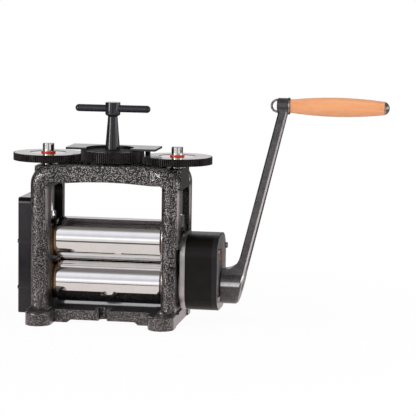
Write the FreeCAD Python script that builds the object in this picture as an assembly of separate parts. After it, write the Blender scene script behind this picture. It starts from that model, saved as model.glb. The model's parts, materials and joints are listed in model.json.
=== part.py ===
import FreeCAD, Part
import math
import os

V = FreeCAD.Vector

# A jeweller's flat rolling mill, in millimetres. X runs along the rolls towards the crank, Y runs from
# the front to the back, Z is up. The origin is on the floor, midway between the two cheeks.

# ---- rolls -------------------------------------------------------------------------------------------
ROLL_LENGTH = 160.0
ROLL_DIAMETER = 64.6
ROLL_GAP_CLOSED = 0.3
LOWER_AXIS_Z = 57.35
UPPER_AXIS_Z = LOWER_AXIS_Z + ROLL_DIAMETER + ROLL_GAP_CLOSED
ROLL_HALF = ROLL_LENGTH / 2
JOURNAL_DIAMETER = 34.0
GEAR_SEAT_DIAMETER = 28.0
ROLL_EDGE_CHAMFER = 0.8
UPPER_JOURNAL_END_X = 106.5
LOWER_JOURNAL_END_X = 109.5
CENTRE_HOLE_RADIUS = 5.0
CENTRE_HOLE_DEPTH = 4.0

# ---- fits --------------------------------------------------------------------------------------------
RUNNING_CLEARANCE = 0.05
SLIDING_CLEARANCE = 0.05

# ---- frame casting -----------------------------------------------------------------------------------
CHEEK_INNER_X = 85.5
CHEEK_OUTER_X = 111.5
RIB_RADIUS = 14.3
RIB_X = 99.5
RIB_Y = 49.0
FRAME_TOP_Z = 238.5
WEB_HALF_WIDTH = 36.0
SHOULDER_RADIUS = 30.0
CHEEK_TOP_Z = 234.0
DECK_TOP_Z = 231.0
BEAM_CROWN_Z = 214.0
BEAM_END_Z = FRAME_TOP_Z - 2 * RIB_RADIUS
BEAM_ARCH_HALF_LENGTH = 70.0
BEAM_EDGE_RADIUS = 2.4
BEAM_FRONT_Y = 56.6
BEAM_SHAPE = (
    (77.0, 60.2, 11.0),
    (69.0, 57.6, 7.0),
    (57.0, BEAM_FRONT_Y, 3.0),
    (30.0, BEAM_FRONT_Y, BEAM_EDGE_RADIUS),
)
BEND_X = RIB_X + RIB_RADIUS - SHOULDER_RADIUS
BEND_Z = FRAME_TOP_Z - SHOULDER_RADIUS
INNER_CORNER_RADIUS = 6.0
BASE_HEIGHT = 20.5
RAIL_TOP_Z = 19.8
RAIL_FRONT_Y = 49.0
BASE_RIGHT_X = 108.0
LUG_Y = 72.0
LUG_RADIUS = 19.3
LUG_EDGE_RADIUS = 3.0
RIB_FLARE = 7.0
LEFT_LUG_X = -96.4
RIGHT_LUG_X = 90.4
RAIL_RELIEF = 4.5
RAIL_RELIEF_X = (-52.0, 45.0)
RAIL_RELIEF_SLOPE = 6.0
UNDERSIDE_HALF_LENGTH = 84.0
UNDERSIDE_HALF_WIDTH = 37.0
UNDERSIDE_DEPTH = 9.0
FOOT_BLOCK_LEFT_X = -79.0
FOOT_BLOCK_RIGHT_X = 70.0
NOTCH_WIDTH = 12.6
NOTCH_X = -3.0
NOTCH_BOSS_RADIUS = 13.5
NOTCH_BOSS_TOP_Z = 22.4
NOTCH_ROOT_RADIUS = 8.7
NOTCH_RIM_Z = 18.6
NOTCH_RIM_FILLET = 2.2
NOTCH_Y = 40.0
WINDOW_HALF_WIDTH = 38.0
WINDOW_BOTTOM_Z = 33.0
WINDOW_TOP_Z = 203.0
WINDOW_TOP_RADIUS = 14.0
MACHINED_FACE_X = 108.5
MACHINED_FACE_TOP_Z = 118.0

# ---- bearings ----------------------------------------------------------------------------------------
BUSH_OUTER_DIAMETER = 42.0
BUSH_FLANGE_RADIUS = 29.0
BUSH_FLANGE_INNER_X = ROLL_HALF + 0.3
BLOCK_INNER_X = 85.5
LOWER_BLOCK_TOP_Z = 88.9
UPPER_BLOCK_BOTTOM_Z = 90.9
UPPER_BLOCK_TOP_Z = 144.6
BLOCK_OUTER_X_LEFT = CHEEK_OUTER_X
BLOCK_OUTER_X_RIGHT = 107.9
BLOCK_CHAMFER = 1.5
LEFT_BUSH_END_X = CHEEK_OUTER_X
LOWER_RIGHT_BUSH_END_X = 108.2
UPPER_RIGHT_BUSH_END_X = 110.0
SPRING_Y = 31.0
SPRING_POCKET_RADIUS = 4.6
SPRING_POCKET_DEPTH = 10.0
SPRING_COIL_RADIUS = 3.2
SPRING_WIRE_RADIUS = 0.6
SPRING_TURNS = 6.0

# ---- screw-down --------------------------------------------------------------------------------------
CENTRE_TEETH = 94
DIAL_TEETH = 104
DIAL_MODULE = 1.0
SCREW_X = DIAL_MODULE * (CENTRE_TEETH + DIAL_TEETH) / 2
SCREW_DIAMETER = 18.0
SCREW_FOOT_Z = 157.8
PIN_DIAMETER = 17.3
PIN_TOP_Z = 265.4
DIAL_BOTTOM_Z = 240.0
DIAL_THICKNESS = 11.2
DIAL_TOP_Z = DIAL_BOTTOM_Z + DIAL_THICKNESS
DIAL_RECESS_RADIUS = 28.0
DIAL_RECESS_DEPTH = 0.5
DIAL_HUB_DIAMETER = 22.0
DIAL_HUB_BOTTOM_Z = 234.6
RING_OUTER_RADIUS = 11.0
RING_HEIGHT = 2.4
FOOT_DIAMETER = 24.0
FOOT_TOP_Z = 163.5
FOOT_SOCKET_Z = 157.6
CENTRE_GEAR_BOTTOM_Z = 241.2
CENTRE_GEAR_TOP_Z = 257.5
POST_FLANGE_RADIUS = 13.0
POST_FLANGE_TOP_Z = 240.2
POST_STUD_DIAMETER = 12.0
POST_STUD_TOP_Z = 284.0
POST_ROOT_Z = 219.0
STEM_SPIGOT_RADIUS = 10.0
STEM_BASE_RADIUS = 11.25
STEM_NECK_RADIUS = 7.25
STEM_NECK_Z = 308.2
TEE_HUB_RADIUS = 11.3
TEE_HUB_BOTTOM_Z = 311.0
TEE_HUB_TOP_Z = 329.6
TEE_BAR_Z = 320.1
TEE_BAR_RADIUS = 5.5
TEE_BAR_HALF_LENGTH = 57.5

# ---- guard plate over the screw-down gears --------------------------------------------------------------
PLATE_BOTTOM_Z = 258.4
PLATE_THICKNESS = 3.2
PLATE_HALF_LENGTH = 68.5
PLATE_FRONT_Y = -18.0
PLATE_BACK_Y = 42.0
PLATE_NOTCH_RADIUS = 36.0
PLATE_NOTCH_X = -3.0
PLATE_NOTCH_Y = -4.0
STANDOFF_X = 47.0
STANDOFF_Y = 38.0
STANDOFF_RADIUS = 4.0
STANDOFF_TAP_RADIUS = 2.0
STANDOFF_STUD_RADIUS = 2.5
STANDOFF_STUD_LENGTH = 10.0
STANDOFF_BOSS_RADIUS = 6.0
PLATE_SCREW_LENGTH = 12.0
PLATE_SCREW_HEAD_RADIUS = 3.9
PLATE_SCREW_SOCKET_RADIUS = 1.4
PLATE_SCREW_SOCKET_DEPTH = 1.2

# ---- roll gears and their cover --------------------------------------------------------------------------
ROLL_GEAR_MODULE = 5.0
ROLL_GEAR_TEETH = 13
ROLL_GEAR_NEAR_X = -114.5
ROLL_GEAR_FAR_X = -130.5
ROLL_SHAFT_END_X = -132.0
CIRCLIP_RADIUS = 17.5
CIRCLIP_THICKNESS = 1.2
COVER_LEFT_X = -135.0
COVER_HALF_WIDTH = 43.5
COVER_WALL = 4.8
COVER_FACE = 2.0
COVER_BOTTOM_Z = 11.0
COVER_TOP_Z = 186.5
COVER_EDGE_RADIUS = 2.0
COVER_SCREW_Y = 41.1
COVER_SCREW_Z = (50.0, 120.0)
COVER_SCREW_RADIUS = 1.5
COVER_SCREW_END_X = -104.0
COVER_SCREW_HEAD_RADIUS = 2.9
COVER_SCREW_HEAD_HEIGHT = 1.4
COVER_SCREW_SOCKET = 2.0

# ---- reduction gearbox -----------------------------------------------------------------------------------
TRAIN_MODULE = 1.5
PINION_TEETH = 22
WHEEL_TEETH = 38
LAYSHAFT_Z = LOWER_AXIS_Z + TRAIN_MODULE * (PINION_TEETH + WHEEL_TEETH) / 2
BOX_HALF_WIDTH = 45.0
BOX_BOTTOM_Z = 22.0
BOX_TOP_Z = 136.2
BOX_CORNER_RADIUS = 31.0
BOX_WALL = 3.5
PLATE_INNER_X = 112.5
PLATE_OUTER_X = 120.0
PLATE_PAD_RADIUS = 33.0
HOUSING_END_X = 160.5
COVER_END_X = 168.5
ROLL_WHEEL_X = (123.0, 137.0)
CRANK_PINION_X = (143.0, 157.0)
ROLL_DRIVE_END_X = 139.0
LAYSHAFT_RADIUS = 7.0
LAYSHAFT_BUSH_RADIUS = 11.8
LAYSHAFT_BUSH_INNER_X = (PLATE_INNER_X + 0.7, PLATE_OUTER_X)
LAYSHAFT_BUSH_OUTER_X = (HOUSING_END_X - 1.0, COVER_END_X)
LAYSHAFT_START_X = 114.5
LAYSHAFT_END_X = 168.0
CRANK_SHAFT_RADIUS = 12.0
CRANK_SEAT_RADIUS = 10.0
CRANK_BUSH_RADIUS = 16.0
CRANK_BUSH_X = (158.5, 168.9)
PILOT_RADIUS = 6.0
PILOT_BUSH_RADIUS = 8.0
PILOT_BUSH_X = (127.0, 139.0)
BOX_SCREWS = ((-36.0, 113.8), (36.0, 113.8), (-33.0, 42.9), (33.0, 42.9))
BOX_SCREW_RADIUS = 3.0
BOX_SCREW_HEAD_RADIUS = 4.6
BOX_SCREW_HEAD_HEIGHT = 3.6
BOX_SCREW_BOSS_RADIUS = 5.0
BOX_SCREW_SOCKET = 5.0
BOX_SCREW_SOCKET_DEPTH = 2.8
PLATE_FRAME_SCREWS = ((-18.0, 28.5), (18.0, 28.5))
PLATE_BLOCK_SCREWS = ((-27.0, 71.0), (27.0, 71.0))
PLATE_FIXING_RADIUS = 2.5
PLATE_FIXING_SINK = 2.5
PLATE_FIXING_SOCKET = 3.0
PLATE_FIXING_SOCKET_DEPTH = 1.8
PLATE_FIXING_START_X = 98.0

# ---- crank -----------------------------------------------------------------------------------------------
HUB_NEAR_X = 170.0
HUB_RADIUS = 26.5
ARM_FACE_X = 201.0
ARM_LEAN = 0.2415
ARM_THICKNESS = 13.8
ARM_HALF_WIDTH_HUB = 18.5
ARM_HALF_WIDTH_EYE = 9.5
ARM_CHAMFER = 2.6
ARM_FILLET_RADIUS = 27.0
HUB_NEAR_CHAMFER = 1.2
HUB_SLOPE_CHAMFER = 2.6
EYE_Z = 330.5
EYE_RADIUS = 11.9
EYE_RIM_RADIUS = 12.6
EYE_NEAR_X = 249.2
EYE_FAR_X = 267.8
CRANK_SHAFT_END_X = 190.0
RETAINING_SCREW_RADIUS = 4.0
RETAINING_HEAD_RADIUS = 7.0
RETAINING_HEAD_SINK = 9.0
RETAINING_HEAD_HEIGHT = 6.0
RETAINING_SOCKET = 6.0
RETAINING_SOCKET_DEPTH = 3.5
RETAINING_THREAD_DEPTH = 14.0
GRIP_START_X = 268.2
GRIP_END_X = 408.4
GRIP_END_RADIUS = 9.75
GRIP_MIDDLE_RADIUS = 14.15
SPINDLE_RADIUS = 5.0
SPINDLE_CHAMFER = 1.0
GRIP_WASHER_END_X = 410.2
GRIP_WASHER_RADIUS = 9.4
DOME_END_X = 415.1
DOME_RADIUS = 8.8
HOOP_RADIUS = 9.0
HOOP_WIRE_RADIUS = 1.6
HOOP_LEG_LENGTH = 4.0

PRESSURE_ANGLE = math.radians(25.0)


# ---- helpers ---------------------------------------------------------------------------------------------
def box(x0, x1, y0, y1, z0, z1):
    """Axis-aligned block between two corners."""
    return Part.makeBox(x1 - x0, y1 - y0, z1 - z0, V(x0, y0, z0))


def rod_x(radius, x0, x1, y, z):
    """Cylinder along X."""
    return Part.makeCylinder(radius, x1 - x0, V(x0, y, z), V(1, 0, 0))


def rod_y(radius, y0, y1, x, z):
    """Cylinder along Y."""
    return Part.makeCylinder(radius, y1 - y0, V(x, y0, z), V(0, 1, 0))


def rod_z(radius, z0, z1, x, y):
    """Cylinder along Z."""
    return Part.makeCylinder(radius, z1 - z0, V(x, y, z0), V(0, 0, 1))


def cone_x(radius_start, radius_end, x0, x1, y, z):
    """Cone along X."""
    return Part.makeCone(radius_start, radius_end, x1 - x0, V(x0, y, z), V(1, 0, 0))


def fuse_all(shapes):
    """One solid from several that touch or overlap."""
    return shapes[0].fuse(shapes[1:]).removeSplitter()


def turned(profile, centre, axis):
    """Solid of revolution of a closed profile of points about an axis."""
    wire = Part.makePolygon(profile + [profile[0]])
    return Part.Face(wire).revolve(centre, axis, 360)


def turned_x(points, z):
    """Solid turned about an X axis at height z, from (x, radius) points."""
    return turned([V(x, 0, z + r) for x, r in points], V(0, 0, z), V(1, 0, 0))


def turned_z(points, x=0.0):
    """Solid turned about a vertical axis at x, from (radius, z) points."""
    return turned([V(x + r, 0, z) for r, z in points], V(x, 0, 0), V(0, 0, 1))


def rounded_wire(at, half_a, low_b, high_b, radius):
    """Rounded rectangle, lines and arcs, placed in space by the function at(a, b)."""
    k = radius * (1 - math.sqrt(0.5))
    a0, a1, b0, b1 = -half_a, half_a, low_b, high_b
    corners = (
        (a1 - radius, b0, a1 - k, b0 + k, a1, b0 + radius),
        (a1, b1 - radius, a1 - k, b1 - k, a1 - radius, b1),
        (a0 + radius, b1, a0 + k, b1 - k, a0, b1 - radius),
        (a0, b0 + radius, a0 + k, b0 + k, a0 + radius, b0),
    )
    edges = []
    for index, (sa, sb, ma, mb, ea, eb) in enumerate(corners):
        following = corners[(index + 1) % 4]
        edges.append(Part.Arc(at(sa, sb), at(ma, mb), at(ea, eb)).toShape())
        edges.append(Part.LineSegment(at(ea, eb), at(following[0], following[1])).toShape())
    return Part.Wire(edges)


def rounded_block_x(x0, x1, half_y, z0, z1, radius):
    """Block along X whose YZ outline is a rounded rectangle."""
    wire = rounded_wire(lambda a, b: V(x0, a, b), half_y, z0, z1, radius)
    return Part.Face(wire).extrude(V(x1 - x0, 0, 0))


def mirrored_x(shape):
    """The same shape on the other side of the mill."""
    return shape.mirror(V(0, 0, 0), V(1, 0, 0))


def involute(angle):
    """Involute function of a pressure angle."""
    return math.tan(angle) - angle


def gear_outline(teeth, module, addendum, dedendum, play, phase, steps):
    """Outline points (u, v) of a spur gear: straight chords along each involute flank.

    play is taken off each flank, measured at the pitch circle; phase turns a tooth's middle to that angle.
    """
    pitch = module * teeth / 2
    base = pitch * math.cos(PRESSURE_ANGLE)
    root = pitch - dedendum
    tip = pitch + addendum
    half_tooth = math.pi / (2 * teeth) - play / pitch
    lowest = max(base, root)
    radii = [lowest + (tip - lowest) * index / steps for index in range(steps + 1)]
    flank = []
    for radius in radii:
        lean = involute(math.acos(min(1.0, base / radius)))
        flank.append((radius, half_tooth + involute(PRESSURE_ANGLE) - lean))
    if root < base:
        flank.insert(0, (root, flank[0][1]))
    points = []
    for tooth in range(teeth):
        middle = phase + 2 * math.pi * tooth / teeth
        points += [(radius, middle - angle) for radius, angle in flank]
        points += [(radius, middle + angle) for radius, angle in reversed(flank)]
    return [(radius * math.cos(angle), radius * math.sin(angle)) for radius, angle in points]


def gear_x(outline, bore, x0, x1, z):
    """Spur gear with its axis along X at height z."""
    points = [V(x0, u, z + v) for u, v in outline]
    rim = Part.makePolygon(points + [points[0]])
    hole = Part.Wire(Part.makeCircle(bore, V(x0, 0, z), V(1, 0, 0)))
    return Part.Face([rim, hole], "Part::FaceMakerBullseye").extrude(V(x1 - x0, 0, 0))


def gear_z(outline, bore, z0, z1, x):
    """Spur gear with a vertical axis at x."""
    points = [V(x + u, v, z0) for u, v in outline]
    rim = Part.makePolygon(points + [points[0]])
    hole = Part.Wire(Part.makeCircle(bore, V(x, 0, z0), V(0, 0, 1)))
    return Part.Face([rim, hole], "Part::FaceMakerBullseye").extrude(V(0, 0, z1 - z0))


def hexagon_x(across_flats, x0, x1, y, z):
    """Hexagonal prism along X, for socket recesses."""
    corner = across_flats / math.sqrt(3)
    points = [
        V(x0, y + corner * math.cos(math.radians(60 * k)), z + corner * math.sin(math.radians(60 * k)))
        for k in range(7)
    ]
    return Part.Face(Part.makePolygon(points)).extrude(V(x1 - x0, 0, 0))


# ---- frame casting -----------------------------------------------------------------------------------------
def corner_rib(side, face):
    """Round rib of one corner: up the cheek, then round the shoulder to the top beam."""
    x = side * RIB_X
    y = face * RIB_Y
    column = rod_z(RIB_RADIUS, BASE_HEIGHT - 1, BEND_Z, x, y)
    section = Part.Face(Part.Wire(Part.makeCircle(RIB_RADIUS, V(x, y, BEND_Z), V(0, 0, 1))))
    shoulder = section.revolve(V(side * BEND_X, y, BEND_Z), V(0, -side, 0), 90)
    return [column, shoulder]


def beam_bottom(x):
    """Height of the shallow arch under a top beam."""
    reach = min(1.0, abs(x) / BEAM_ARCH_HALF_LENGTH)
    return BEAM_CROWN_Z - (BEAM_CROWN_Z - BEAM_END_Z) * reach * reach


def top_beam(face):
    """Top beam of one face: set back and square in the middle, round where it runs into the shoulders."""
    back_y = RIB_Y - RIB_RADIUS
    half = ((BEND_X, RIB_Y + RIB_RADIUS, RIB_RADIUS - 0.1),) + BEAM_SHAPE
    stations = [(-x, front_y, radius) for x, front_y, radius in half]
    stations.append((0.0, BEAM_FRONT_Y, BEAM_EDGE_RADIUS))
    stations += [(x, front_y, radius) for x, front_y, radius in reversed(half)]
    wires = []
    for x, front_y, radius in stations:
        def place(a, b, x=x, middle_y=(front_y + back_y) / 2):
            return V(x, face * middle_y + a, b)
        wires.append(rounded_wire(place, (front_y - back_y) / 2, beam_bottom(x), FRAME_TOP_Z, radius))
    return Part.makeLoft(wires, True, True)


def inner_corner(side):
    """Concave fillet between a cheek and the deck, inside the throat."""
    x = side * CHEEK_INNER_X
    centre_x = side * (CHEEK_INNER_X - INNER_CORNER_RADIUS)
    low = BEAM_CROWN_Z - INNER_CORNER_RADIUS
    reach = RIB_Y - 5.0
    block = box(min(x, centre_x), max(x, centre_x), -reach, reach, low, BEAM_CROWN_Z + 2)
    return block.cut(rod_y(INNER_CORNER_RADIUS, -reach - 1, reach + 1, centre_x, low))


def lug(x, face):
    """Rounded foot that stands out in front of a corner rib."""
    y = face * LUG_Y
    foot = rod_z(LUG_RADIUS, 0, BASE_HEIGHT, x, y)
    near = y - face * LUG_RADIUS
    foot = foot.fuse(box(x - LUG_RADIUS, x + LUG_RADIUS, min(y, near), max(y, near), 0, BASE_HEIGHT))
    foot = foot.removeSplitter()
    top_edges = [e for e in foot.Edges if e.BoundBox.ZMin > BASE_HEIGHT - 0.01]
    return foot.makeFillet(LUG_EDGE_RADIUS, top_edges)


def rib_flare(side, face):
    """Concave skirt where a rib grows out of its foot."""
    x = side * RIB_X
    y = face * RIB_Y
    reach = RIB_FLARE
    low = BASE_HEIGHT - 1.0
    outer = RIB_RADIUS + reach
    profile = [
        Part.LineSegment(V(x, y, low), V(x + outer, y, low)).toShape(),
        Part.LineSegment(V(x + outer, y, low), V(x + outer, y, low + 1)).toShape(),
        Part.Arc(
            V(x + outer, y, low + 1),
            V(x + RIB_RADIUS + reach * (1 - math.sqrt(0.5)), y, low + 1 + reach * (1 - math.sqrt(0.5))),
            V(x + RIB_RADIUS, y, low + 1 + reach),
        ).toShape(),
        Part.LineSegment(V(x + RIB_RADIUS, y, low + 1 + reach), V(x, y, low + 1 + reach)).toShape(),
        Part.LineSegment(V(x, y, low + 1 + reach), V(x, y, low)).toShape(),
    ]
    flare = Part.Face(Part.Wire(profile)).revolve(V(x, y, 0), V(0, 0, 1), 360)
    limit = BASE_RIGHT_X if side > 0 else RIB_X + outer
    x0, x1 = sorted((side * FOOT_BLOCK_RIGHT_X, side * limit))
    return flare.common(box(x0, x1, y - outer, y + outer, 0, 2 * BASE_HEIGHT))


def bearing_window(side):
    """Tall machined window through one cheek, for the bearing blocks."""
    x0, x1 = sorted((side * (CHEEK_INNER_X - 3), side * (CHEEK_OUTER_X + 3)))
    block = box(x0, x1, -WINDOW_HALF_WIDTH, WINDOW_HALF_WIDTH, WINDOW_BOTTOM_Z, WINDOW_TOP_Z)
    top_edges = [
        e for e in block.Edges
        if e.BoundBox.ZMin > WINDOW_TOP_Z - 0.01 and e.BoundBox.XLength > 10
    ]
    return block.makeFillet(WINDOW_TOP_RADIUS, top_edges)


def notch_collar(face):
    """Boss round a hold-down notch, wider towards its raised and rounded top."""
    y = face * NOTCH_Y
    root = Part.makeCone(NOTCH_ROOT_RADIUS, NOTCH_BOSS_RADIUS, NOTCH_RIM_Z, V(NOTCH_X, y, 0), V(0, 0, 1))
    rim = rod_z(NOTCH_BOSS_RADIUS, NOTCH_RIM_Z, NOTCH_BOSS_TOP_Z, NOTCH_X, y)
    top_edges = [e for e in rim.Edges if e.BoundBox.ZMin > NOTCH_BOSS_TOP_Z - 0.01]
    return root.fuse(rim.makeFillet(NOTCH_RIM_FILLET, top_edges))


def notch_slot(face):
    """Open slot for a hold-down bolt."""
    y0, y1 = sorted((face * NOTCH_Y, face * (LUG_Y + LUG_RADIUS)))
    half = NOTCH_WIDTH / 2
    slot = box(NOTCH_X - half, NOTCH_X + half, y0, y1, -1, BASE_HEIGHT + 5)
    return slot.fuse(rod_z(half, -1, BASE_HEIGHT + 5, NOTCH_X, face * NOTCH_Y)).removeSplitter()


def rail_relief():
    """Clearance under both rails, with sloped ends, so that the mill stands on its corners."""
    left, right = RAIL_RELIEF_X
    profile = [
        V(left - RAIL_RELIEF_SLOPE, 0, -1),
        V(left - RAIL_RELIEF_SLOPE, 0, 0),
        V(left, 0, RAIL_RELIEF),
        V(right, 0, RAIL_RELIEF),
        V(right + RAIL_RELIEF_SLOPE, 0, 0),
        V(right + RAIL_RELIEF_SLOPE, 0, -1),
    ]
    depth = RAIL_FRONT_Y + NOTCH_BOSS_RADIUS
    face = Part.Face(Part.makePolygon([p + V(0, -depth, 0) for p in profile + [profile[0]]]))
    return face.extrude(V(0, 2 * depth, 0))


def underside_hollow():
    """Hollow that lightens the base from below."""
    half_x = UNDERSIDE_HALF_LENGTH
    half_y = UNDERSIDE_HALF_WIDTH
    return box(-half_x, half_x, -half_y, half_y, -1, UNDERSIDE_DEPTH)


def frame_casting():
    """One-piece cast frame: two windowed cheeks, a trough-shaped top and a base with feet and rails."""
    beam_inner_y = RIB_Y - RIB_RADIUS
    solids = [
        box(-BEND_X, BEND_X, -beam_inner_y - 2, beam_inner_y + 2, BEAM_CROWN_Z, DECK_TOP_Z),
        box(LEFT_LUG_X, RIGHT_LUG_X, -RAIL_FRONT_Y, RAIL_FRONT_Y, 0, RAIL_TOP_Z),
        box(-CHEEK_OUTER_X, FOOT_BLOCK_LEFT_X, -LUG_Y, LUG_Y, 0, BASE_HEIGHT),
        box(FOOT_BLOCK_RIGHT_X, BASE_RIGHT_X, -LUG_Y, LUG_Y, 0, BASE_HEIGHT),
    ]
    for side in (-1, 1):
        x0, x1 = sorted((side * CHEEK_INNER_X, side * CHEEK_OUTER_X))
        solids.append(box(x0, x1, -RIB_Y, RIB_Y, BASE_HEIGHT - 1, BEND_Z))
        solids.append(box(x0, x1, -WEB_HALF_WIDTH, WEB_HALF_WIDTH, BEND_Z - 1, CHEEK_TOP_Z))
        x0, x1 = sorted((side * (BEND_X - 1), side * (CHEEK_INNER_X + 3)))
        solids.append(box(x0, x1, -RIB_Y, RIB_Y, BEND_Z, DECK_TOP_Z))
        solids.append(inner_corner(side))
        for face in (-1, 1):
            solids += corner_rib(side, face)
            solids.append(rib_flare(side, face))
    for face in (-1, 1):
        solids.append(top_beam(face))
        solids.append(lug(LEFT_LUG_X, face))
        solids.append(lug(RIGHT_LUG_X, face))
    for x in (-STANDOFF_X, STANDOFF_X):
        solids.append(rod_z(STANDOFF_BOSS_RADIUS, BEAM_CROWN_Z + 2, FRAME_TOP_Z, x, STANDOFF_Y))
    body = solids[0]
    for solid in solids[1:]:
        body = body.fuse(solid)
    body = body.cut(underside_hollow())
    for face in (-1, 1):
        body = body.fuse(notch_collar(face))
    seat_y = COVER_HALF_WIDTH + 1.0
    cuts = [
        rail_relief(),
        notch_slot(-1),
        notch_slot(1),
        bearing_window(-1),
        bearing_window(1),
        box(MACHINED_FACE_X, CHEEK_OUTER_X + 9, -70, 70, BASE_HEIGHT, MACHINED_FACE_TOP_Z),
        box(-CHEEK_OUTER_X - 12, -CHEEK_OUTER_X, -seat_y, seat_y, COVER_BOTTOM_Z - 1, COVER_TOP_Z + 1),
        rod_z(POST_STUD_DIAMETER / 2, POST_ROOT_Z, DECK_TOP_Z + 1, 0, 0),
    ]
    for side in (-1, 1):
        bore = SCREW_DIAMETER / 2 + RUNNING_CLEARANCE
        cuts.append(rod_z(bore, WINDOW_TOP_Z - 2, CHEEK_TOP_Z + 2, side * SCREW_X, 0))
    for x in (-STANDOFF_X, STANDOFF_X):
        cuts.append(standoff_stud(x))
    for y, z in cover_screw_places():
        cuts.append(rod_x(COVER_SCREW_RADIUS, -CHEEK_OUTER_X - 1, COVER_SCREW_END_X, y, z))
    for y, z in PLATE_FRAME_SCREWS:
        cuts.append(rod_x(PLATE_FIXING_RADIUS, PLATE_FIXING_START_X, MACHINED_FACE_X + 1, y, z))
    for cut in cuts:
        body = body.cut(cut)
    return body.removeSplitter()


# ---- bearings ----------------------------------------------------------------------------------------------
def bearing_block(side, low, high, outer_x, axis_z):
    """Steel bearing block that fills a window from side to side."""
    half = WINDOW_HALF_WIDTH - SLIDING_CLEARANCE
    x0, x1 = sorted((side * BLOCK_INNER_X, side * outer_x))
    block = box(x0, x1, -half, half, low, high)
    edges = [e for e in block.Edges if e.BoundBox.XLength > 10]
    block = block.makeChamfer(BLOCK_CHAMFER, edges)
    return block.cut(rod_x(BUSH_OUTER_DIAMETER / 2, x0 - 1, x1 + 1, 0, axis_z))


def lower_bearing_block(side):
    """Fixed block under the lower roll, with pockets for the two lifting springs."""
    outer = BLOCK_OUTER_X_LEFT if side < 0 else BLOCK_OUTER_X_RIGHT
    block = bearing_block(side, WINDOW_BOTTOM_Z, LOWER_BLOCK_TOP_Z, outer, LOWER_AXIS_Z)
    for y in (-SPRING_Y, SPRING_Y):
        low = LOWER_BLOCK_TOP_Z - SPRING_POCKET_DEPTH
        block = block.cut(rod_z(SPRING_POCKET_RADIUS, low, LOWER_BLOCK_TOP_Z + 1, side * SCREW_X, y))
    if side > 0:
        for y, z in PLATE_BLOCK_SCREWS:
            block = block.cut(rod_x(PLATE_FIXING_RADIUS, PLATE_FIXING_START_X, outer + 1, y, z))
    return block


def upper_bearing_block(side):
    """Sliding block over the upper roll, which the screw-down moves."""
    outer = BLOCK_OUTER_X_LEFT if side < 0 else BLOCK_OUTER_X_RIGHT
    block = bearing_block(side, UPPER_BLOCK_BOTTOM_Z, UPPER_BLOCK_TOP_Z, outer, UPPER_AXIS_Z)
    for y in (-SPRING_Y, SPRING_Y):
        high = UPPER_BLOCK_BOTTOM_Z + SPRING_POCKET_DEPTH
        block = block.cut(rod_z(SPRING_POCKET_RADIUS, UPPER_BLOCK_BOTTOM_Z - 1, high, side * SCREW_X, y))
    return block


def flanged_bush(side, outer_x, z):
    """Bronze bush with a thrust flange against the end of the roll."""
    bore = JOURNAL_DIAMETER / 2 + RUNNING_CLEARANCE
    points = [
        (BUSH_FLANGE_INNER_X, bore),
        (BUSH_FLANGE_INNER_X, BUSH_FLANGE_RADIUS - 1),
        (BUSH_FLANGE_INNER_X + 1, BUSH_FLANGE_RADIUS),
        (BLOCK_INNER_X, BUSH_FLANGE_RADIUS),
        (BLOCK_INNER_X, BUSH_OUTER_DIAMETER / 2),
        (outer_x, BUSH_OUTER_DIAMETER / 2),
        (outer_x, bore),
    ]
    bush = turned_x(points, z)
    return bush if side > 0 else mirrored_x(bush)


def lifting_springs():
    """Four compression springs that hold the upper blocks up against the screws."""
    low = LOWER_BLOCK_TOP_Z - SPRING_POCKET_DEPTH + SPRING_WIRE_RADIUS
    high = UPPER_BLOCK_BOTTOM_Z + SPRING_POCKET_DEPTH - SPRING_WIRE_RADIUS
    height = high - low
    coils = []
    for x in (-SCREW_X, SCREW_X):
        for y in (-SPRING_Y, SPRING_Y):
            path = Part.makeHelix(height / SPRING_TURNS, height, SPRING_COIL_RADIUS)
            section = Part.Wire(Part.makeCircle(SPRING_WIRE_RADIUS, V(SPRING_COIL_RADIUS, 0, 0), V(0, 1, 0)))
            coil = Part.Wire(path).makePipeShell([section], True, True)
            coil.translate(V(x, y, low))
            coils.append(coil)
    return Part.makeCompound(coils)


# ---- rolls -------------------------------------------------------------------------------------------------
def roll_points(left_end, right_journal_end):
    """Turned profile shared by both rolls, from the gear seat to the right journal."""
    radius = ROLL_DIAMETER / 2
    journal = JOURNAL_DIAMETER / 2
    seat = GEAR_SEAT_DIAMETER / 2
    return [
        (left_end, 0.0),
        (left_end, seat - 1.0),
        (left_end + 1.0, seat),
        (ROLL_GEAR_NEAR_X, seat),
        (ROLL_GEAR_NEAR_X, journal),
        (-ROLL_HALF, journal),
        (-ROLL_HALF, radius - ROLL_EDGE_CHAMFER),
        (-ROLL_HALF + ROLL_EDGE_CHAMFER, radius),
        (ROLL_HALF - ROLL_EDGE_CHAMFER, radius),
        (ROLL_HALF, radius - ROLL_EDGE_CHAMFER),
        (ROLL_HALF, journal),
        (right_journal_end, journal),
    ]


def circlip_groove(z):
    """Groove for the ring that keeps a roll gear on its seat."""
    x1 = ROLL_GEAR_FAR_X
    x0 = x1 - CIRCLIP_THICKNESS
    ring = rod_x(GEAR_SEAT_DIAMETER, x0, x1, 0, z)
    return ring.cut(rod_x(GEAR_SEAT_DIAMETER / 2 - 1.0, x0, x1, 0, z))


def upper_roll():
    """Hardened upper roll with its journals and gear seat."""
    end = UPPER_JOURNAL_END_X
    bottom = end - CENTRE_HOLE_DEPTH
    centre_hole = [(end, CENTRE_HOLE_RADIUS), (bottom, CENTRE_HOLE_RADIUS / 2), (bottom, 0.0)]
    points = roll_points(ROLL_SHAFT_END_X, end) + centre_hole
    return turned_x(points, UPPER_AXIS_Z).cut(circlip_groove(UPPER_AXIS_Z))


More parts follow.
